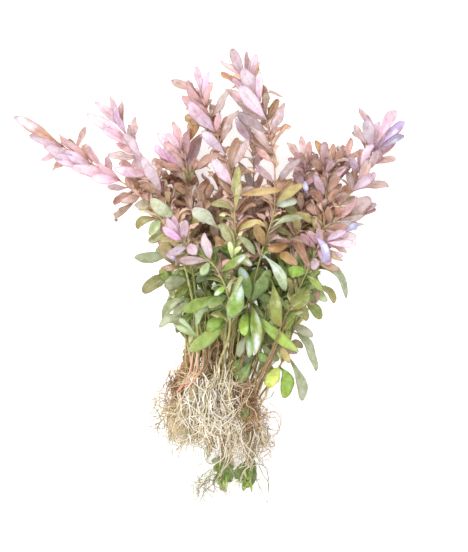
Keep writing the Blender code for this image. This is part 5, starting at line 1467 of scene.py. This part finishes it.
def floor_material():
    n = Nodes("pale_table")
    grain = n.noise(14.0, 4.0)
    return n.finish(
        Base_Color=n.blend("MIX", grain, (0.86, 0.86, 0.865, 1), (0.88, 0.88, 0.88)),
        Normal=n.bump(grain, 0.05, 0.001), Roughness=n.ramp(grain, 0.3, 0.7, 0.55, 0.65),
        Emission_Color=(1, 1, 1, 1), Emission_Strength=TABLE_GLOW,
    )


def dress(shape, material, slot, *nodes):
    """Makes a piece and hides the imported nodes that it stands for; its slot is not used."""
    made = shape.make(material)
    if nodes:
        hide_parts(*nodes)


def slot_of(node):
    rows = frame["record"]["subparts"]
    return next(row["material_slot"] for row in rows if row["node"] == node)


def dress_leaves(name, leaves, material, slot, *nodes):
    shape = Shape(name)
    add_leaves(shape, leaves)
    dress(shape, material, slot, *nodes)


def grow_shoots():
    """Each shoot's crown, its lower leaves and its stem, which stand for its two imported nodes."""
    skins = {
        "pink_leaves": leaf_material("pink_leaf", 0.25, 0.25, (0.86, 0.66, 0.66)),
        "green_leaves": leaf_material("green_leaf", 0.15, 0.5, (1.0, 1.0, 0.9)),
        "rusty_leaves": leaf_material("rusty_leaf", 0.15, 0.2, (0.8, 0.62, 0.55)),
    }
    bark = stem_material()
    extras = [placed_leaf(*row) for row in EXTRA_LEAVES]
    rooted = [(leaf, *nearest_stem(leaf.foot)) for leaf in extras]
    rng = np.random.RandomState(CROWD_SEED)
    crowds = [pair for row in CROWDS for pair in crowd(rng, *row)]
    for name, path in PATHS.items():
        under = name.startswith("under")
        crown, lower = read_leaves("crown_" + name, path), read_leaves("stem_" + name, path)
        young = [] if under else young_leaves(path, sorted({leaf.tone for leaf in crown if leaf.front}))
        slot = slot_of("crown_" + name)
        dress_leaves("crown_leaves_" + name, crown + young, skins[slot], slot, "crown_" + name)
        rest = Shape("lower_leaves_" + name)
        add_leaves(rest, lower + fill_leaves(name, path) + [leaf for stem, leaf in crowds if stem == name])
        for leaf, stem, start in rooted:
            if stem == name:
                add_leaf(rest, leaf)
                add_leaf_stalk(rest, leaf, start)
        slot = "rusty_leaves" if under else "green_leaves"
        dress(rest, skins[slot], slot)
        stalk = Shape("stalk_" + name)
        add_stem(stalk, name, path, [leaf for leaf in crown + lower if leaf.front])
        dress(stalk, bark, "stems", "stem_" + name)


def grow_core():
    """The felted masses inside the beard and between the stems' feet."""
    core = Shape("root_core")
    for k, name in enumerate(name for name in LOBES if name.startswith("roots")):
        lobe = Lobe(name)
        inner = lobe.path[3:int(len(lobe.path) * 0.66)]
        radii = [radius * 0.6 for radius in lobe.radii[:-1]] + [0.5]
        add_lump(core, inner, radii, lobe.flat, CORE_SEED + LUMP_SEED_STEP * k, CORE)
    for k, (points, radii, flat) in enumerate(FELTS):
        add_lump(core, smooth(points, 1.0), radii, flat, FELT_SEED + LUMP_SEED_STEP * k, FELT)
    dress(core, felt_material(), "roots")


def grow_hidden_roots(skin):
    """The darker roots inside the beard, and the mats of fibre."""
    shape = Shape("roots_inner")
    beard(shape, "roots_left", 60, DARK_ROOTS, stop=(0.6, 0.9), reach=(0.6, 1.1))
    beard(shape, "roots_middle", 60, DARK_ROOTS, stop=(0.3, 0.55), reach=(0.6, 1.15))
    for name in ("roots_column", "roots_right"):
        beard(shape, name, 34, DARK_ROOTS, stop=(0.8, 1.1), reach=(0.3, 0.9), thick=(0.2, 0.4))
    for seed, row in enumerate(MATS, MAT_SEED):
        tangle(shape, *row, seed, thick=(0.18, 0.34), drift=(0, -1.2, 0), bend=0.55)
    dress(shape, skin, "roots", "roots_left", "roots_middle", "roots_column", "roots_right")


def grow_beard(skin):
    """The pale roots that hang at the front of the beard."""
    shape = Shape("roots_beard")
    front = {
        "start": (0.0, 0.4), "reach": (0.6, 1.35), "thick": (0.22, 0.4), "jitter": 1.5, "from_stems": 0.3,
    }
    beard(shape, "roots_front_left", 46, PALE_ROOTS, stop=(0.65, 0.95), least=5, **front)
    beard(shape, "roots_front_middle", 40, PALE_ROOTS, stop=(0.65, 1), least=5, **front)
    beard(shape, "roots_front_right", 28, PALE_ROOTS, stop=(0.7, 1), least=4, **front)
    for name, from_stems in (("roots_right", 0.2), ("roots_column", 0)):
        beard(shape, name, 20, PALE_ROOTS, stop=(0.7, 1), reach=(0.8, 1.2), thick=(0.26, 0.42), jitter=1.4,
              from_stems=from_stems)
    dress(shape, skin, "roots", "roots_front_left", "roots_front_middle", "roots_front_right")


def grow_loose_roots(skin):
    """The roots at the lobes' tips, the curled ones and the ones that lie on top."""
    shape = Shape("roots_loose")
    for row in FRINGES:
        fringe(shape, *row)
    for seed, row in enumerate(CURLS, CURL_SEED):
        tangle(shape, *row, seed, thick=(0.22, 0.34), bend=0.95)
    lay_over(shape, [(thick, colour, colour, points) for thick, colour, points in TOP_ROOTS], 0.35)
    dress(shape, skin, "roots")


def grow_stem_ends():
    """The stems that end among the roots, and the dried stalks between the stems' feet."""
    ends = Shape("stem_ends")
    lay_over(ends, END_STEMS, 0.2)
    dress(ends, stem_material(), "stems")
    wisps = Shape("old_stalks")
    rng = np.random.RandomState(STALK_SEED)
    for _ in range(STALKS):
        x, z, top, foot = (rng.uniform(*span) for span in (STALK_X, STALK_Z, STALK_TOPS, STALK_FEET))
        way = [(x, top, z), (x * 0.9 + rng.normal(0, 2), (top + foot) / 2, z), (x * 0.75, foot, z * 0.9)]
        radius = rng.uniform(*STALK_RADII)
        strand(wisps, way, rng, radius, pick(rng, OLD_STALKS), end=0.7)
    dress(wisps, stem_material(), "stems")


def frond(rng, lobe, aim):
    """One of the small narrow leaves of a clump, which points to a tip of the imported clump."""
    base = lobe.path[0] + (lobe.path[-1] - lobe.path[0]) * rng.uniform(-0.3, 0.7)
    base = base + rng.normal(0, 1, 3) * (1.3, 1, 1)
    end = base + unit(aim - base + np.array((0, -6, 0))) * rng.uniform(4, 9) + rng.normal(0, 0.8, 3)
    end[1] = max(end[1], aim[1])
    end[2] = max(end[2], 0.8)
    bend = (base + end) / 2 + rng.normal(0, 0.6, 3)
    tone = pick(rng, FROND_TONES)
    above = unit(UP + rng.normal(0, 0.5, 3))
    return Leaf(base, bend, end, rng.uniform(1.3, 2.6), above, tone, COARSE)


def grow_clumps():
    """Dark green shoots' remains that hang in the lowest roots."""
    skin = leaf_material("moss_leaf", 0.1, 0.2, (0.84, 0.88, 0.74))
    for name in ("clump_middle", "clump_right"):
        lobe = Lobe(name)
        corners, triangles = welded(name)
        tips = corners[sharp_tips(corners, triangles)]
        rng = seeded(*lobe.path[0], 9)
        caught = [placed_leaf(*row) for row in CLUMP_LEAVES if abs(row[2][0] - lobe.path[0][0]) < 8]
        fronds = [frond(rng, lobe, tips[k % len(tips)]) for k in range(FRONDS)]
        dress_leaves(name + "_fronds", caught + fronds, skin, "clumps", name)


def lay_bark():
    """A curled piece of brown bark that is caught in the roots."""
    lobe = Lobe("debris_bark")
    shape = Shape("bark_piece")
    add_lump(shape, lobe.path, lobe.radii, lobe.flat, BARK_SEED, BARK)
    tangle(shape, *BARK_MAT, BARK_FIBRE_SEED, thick=(0.22, 0.45), bend=0.6)
    dress(shape, felt_material(), "debris", "debris_bark")


def set_stage():
    mesh = bpy.data.meshes.new("table")
    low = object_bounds()[0].z - TABLE_BELOW
    corners = [(x * TABLE_REACH, y * TABLE_REACH, low) for x, y in ((-1, -1), (1, -1), (1, 1), (-1, 1))]
    mesh.from_pydata(corners, [], [(0, 1, 2, 3)])
    mesh.materials.append(floor_material())
    add_object("table", mesh)


def set_lights():
    world = bpy.data.worlds.new("studio")
    world.use_nodes = True
    sky = world.node_tree.nodes["Background"].inputs
    sky["Color"].default_value = SKY
    sky["Strength"].default_value = SKY_STRENGTH
    bpy.context.scene.world = world
    lamp = bpy.data.lights.new("key", "AREA")
    lamp.size = LAMP_SIZE
    lamp.energy = LAMP_POWER
    made = add_object("key", lamp)
    made.location = LAMP_PLACE
    made.rotation_mode = "QUATERNION"
    made.rotation_quaternion = (-made.location).to_track_quat("-Z", "Y")


def set_camera():
    lens = bpy.data.cameras.new("camera")
    lens.sensor_width = SENSOR
    lens.lens = SENSOR * (CAMERA_AWAY - VIEW_MIDDLE[2]) / VIEW_HEIGHT
    lens.clip_end = 20.0
    x, y, _ = (np.array(VIEW_MIDDLE) - MIDDLE) * MM
    camera = add_object("camera", lens)
    camera.location = (x, y, CAMERA_AWAY * MM)
    bpy.context.scene.camera = camera
    bpy.context.scene.view_settings.view_transform = "Standard"


set_camera()
grow_shoots()
grow_core()
root_skin = root_material()
grow_hidden_roots(root_skin)
grow_beard(root_skin)
grow_loose_roots(root_skin)
grow_stem_ends()
grow_clumps()
lay_bark()
set_stage()
set_lights()
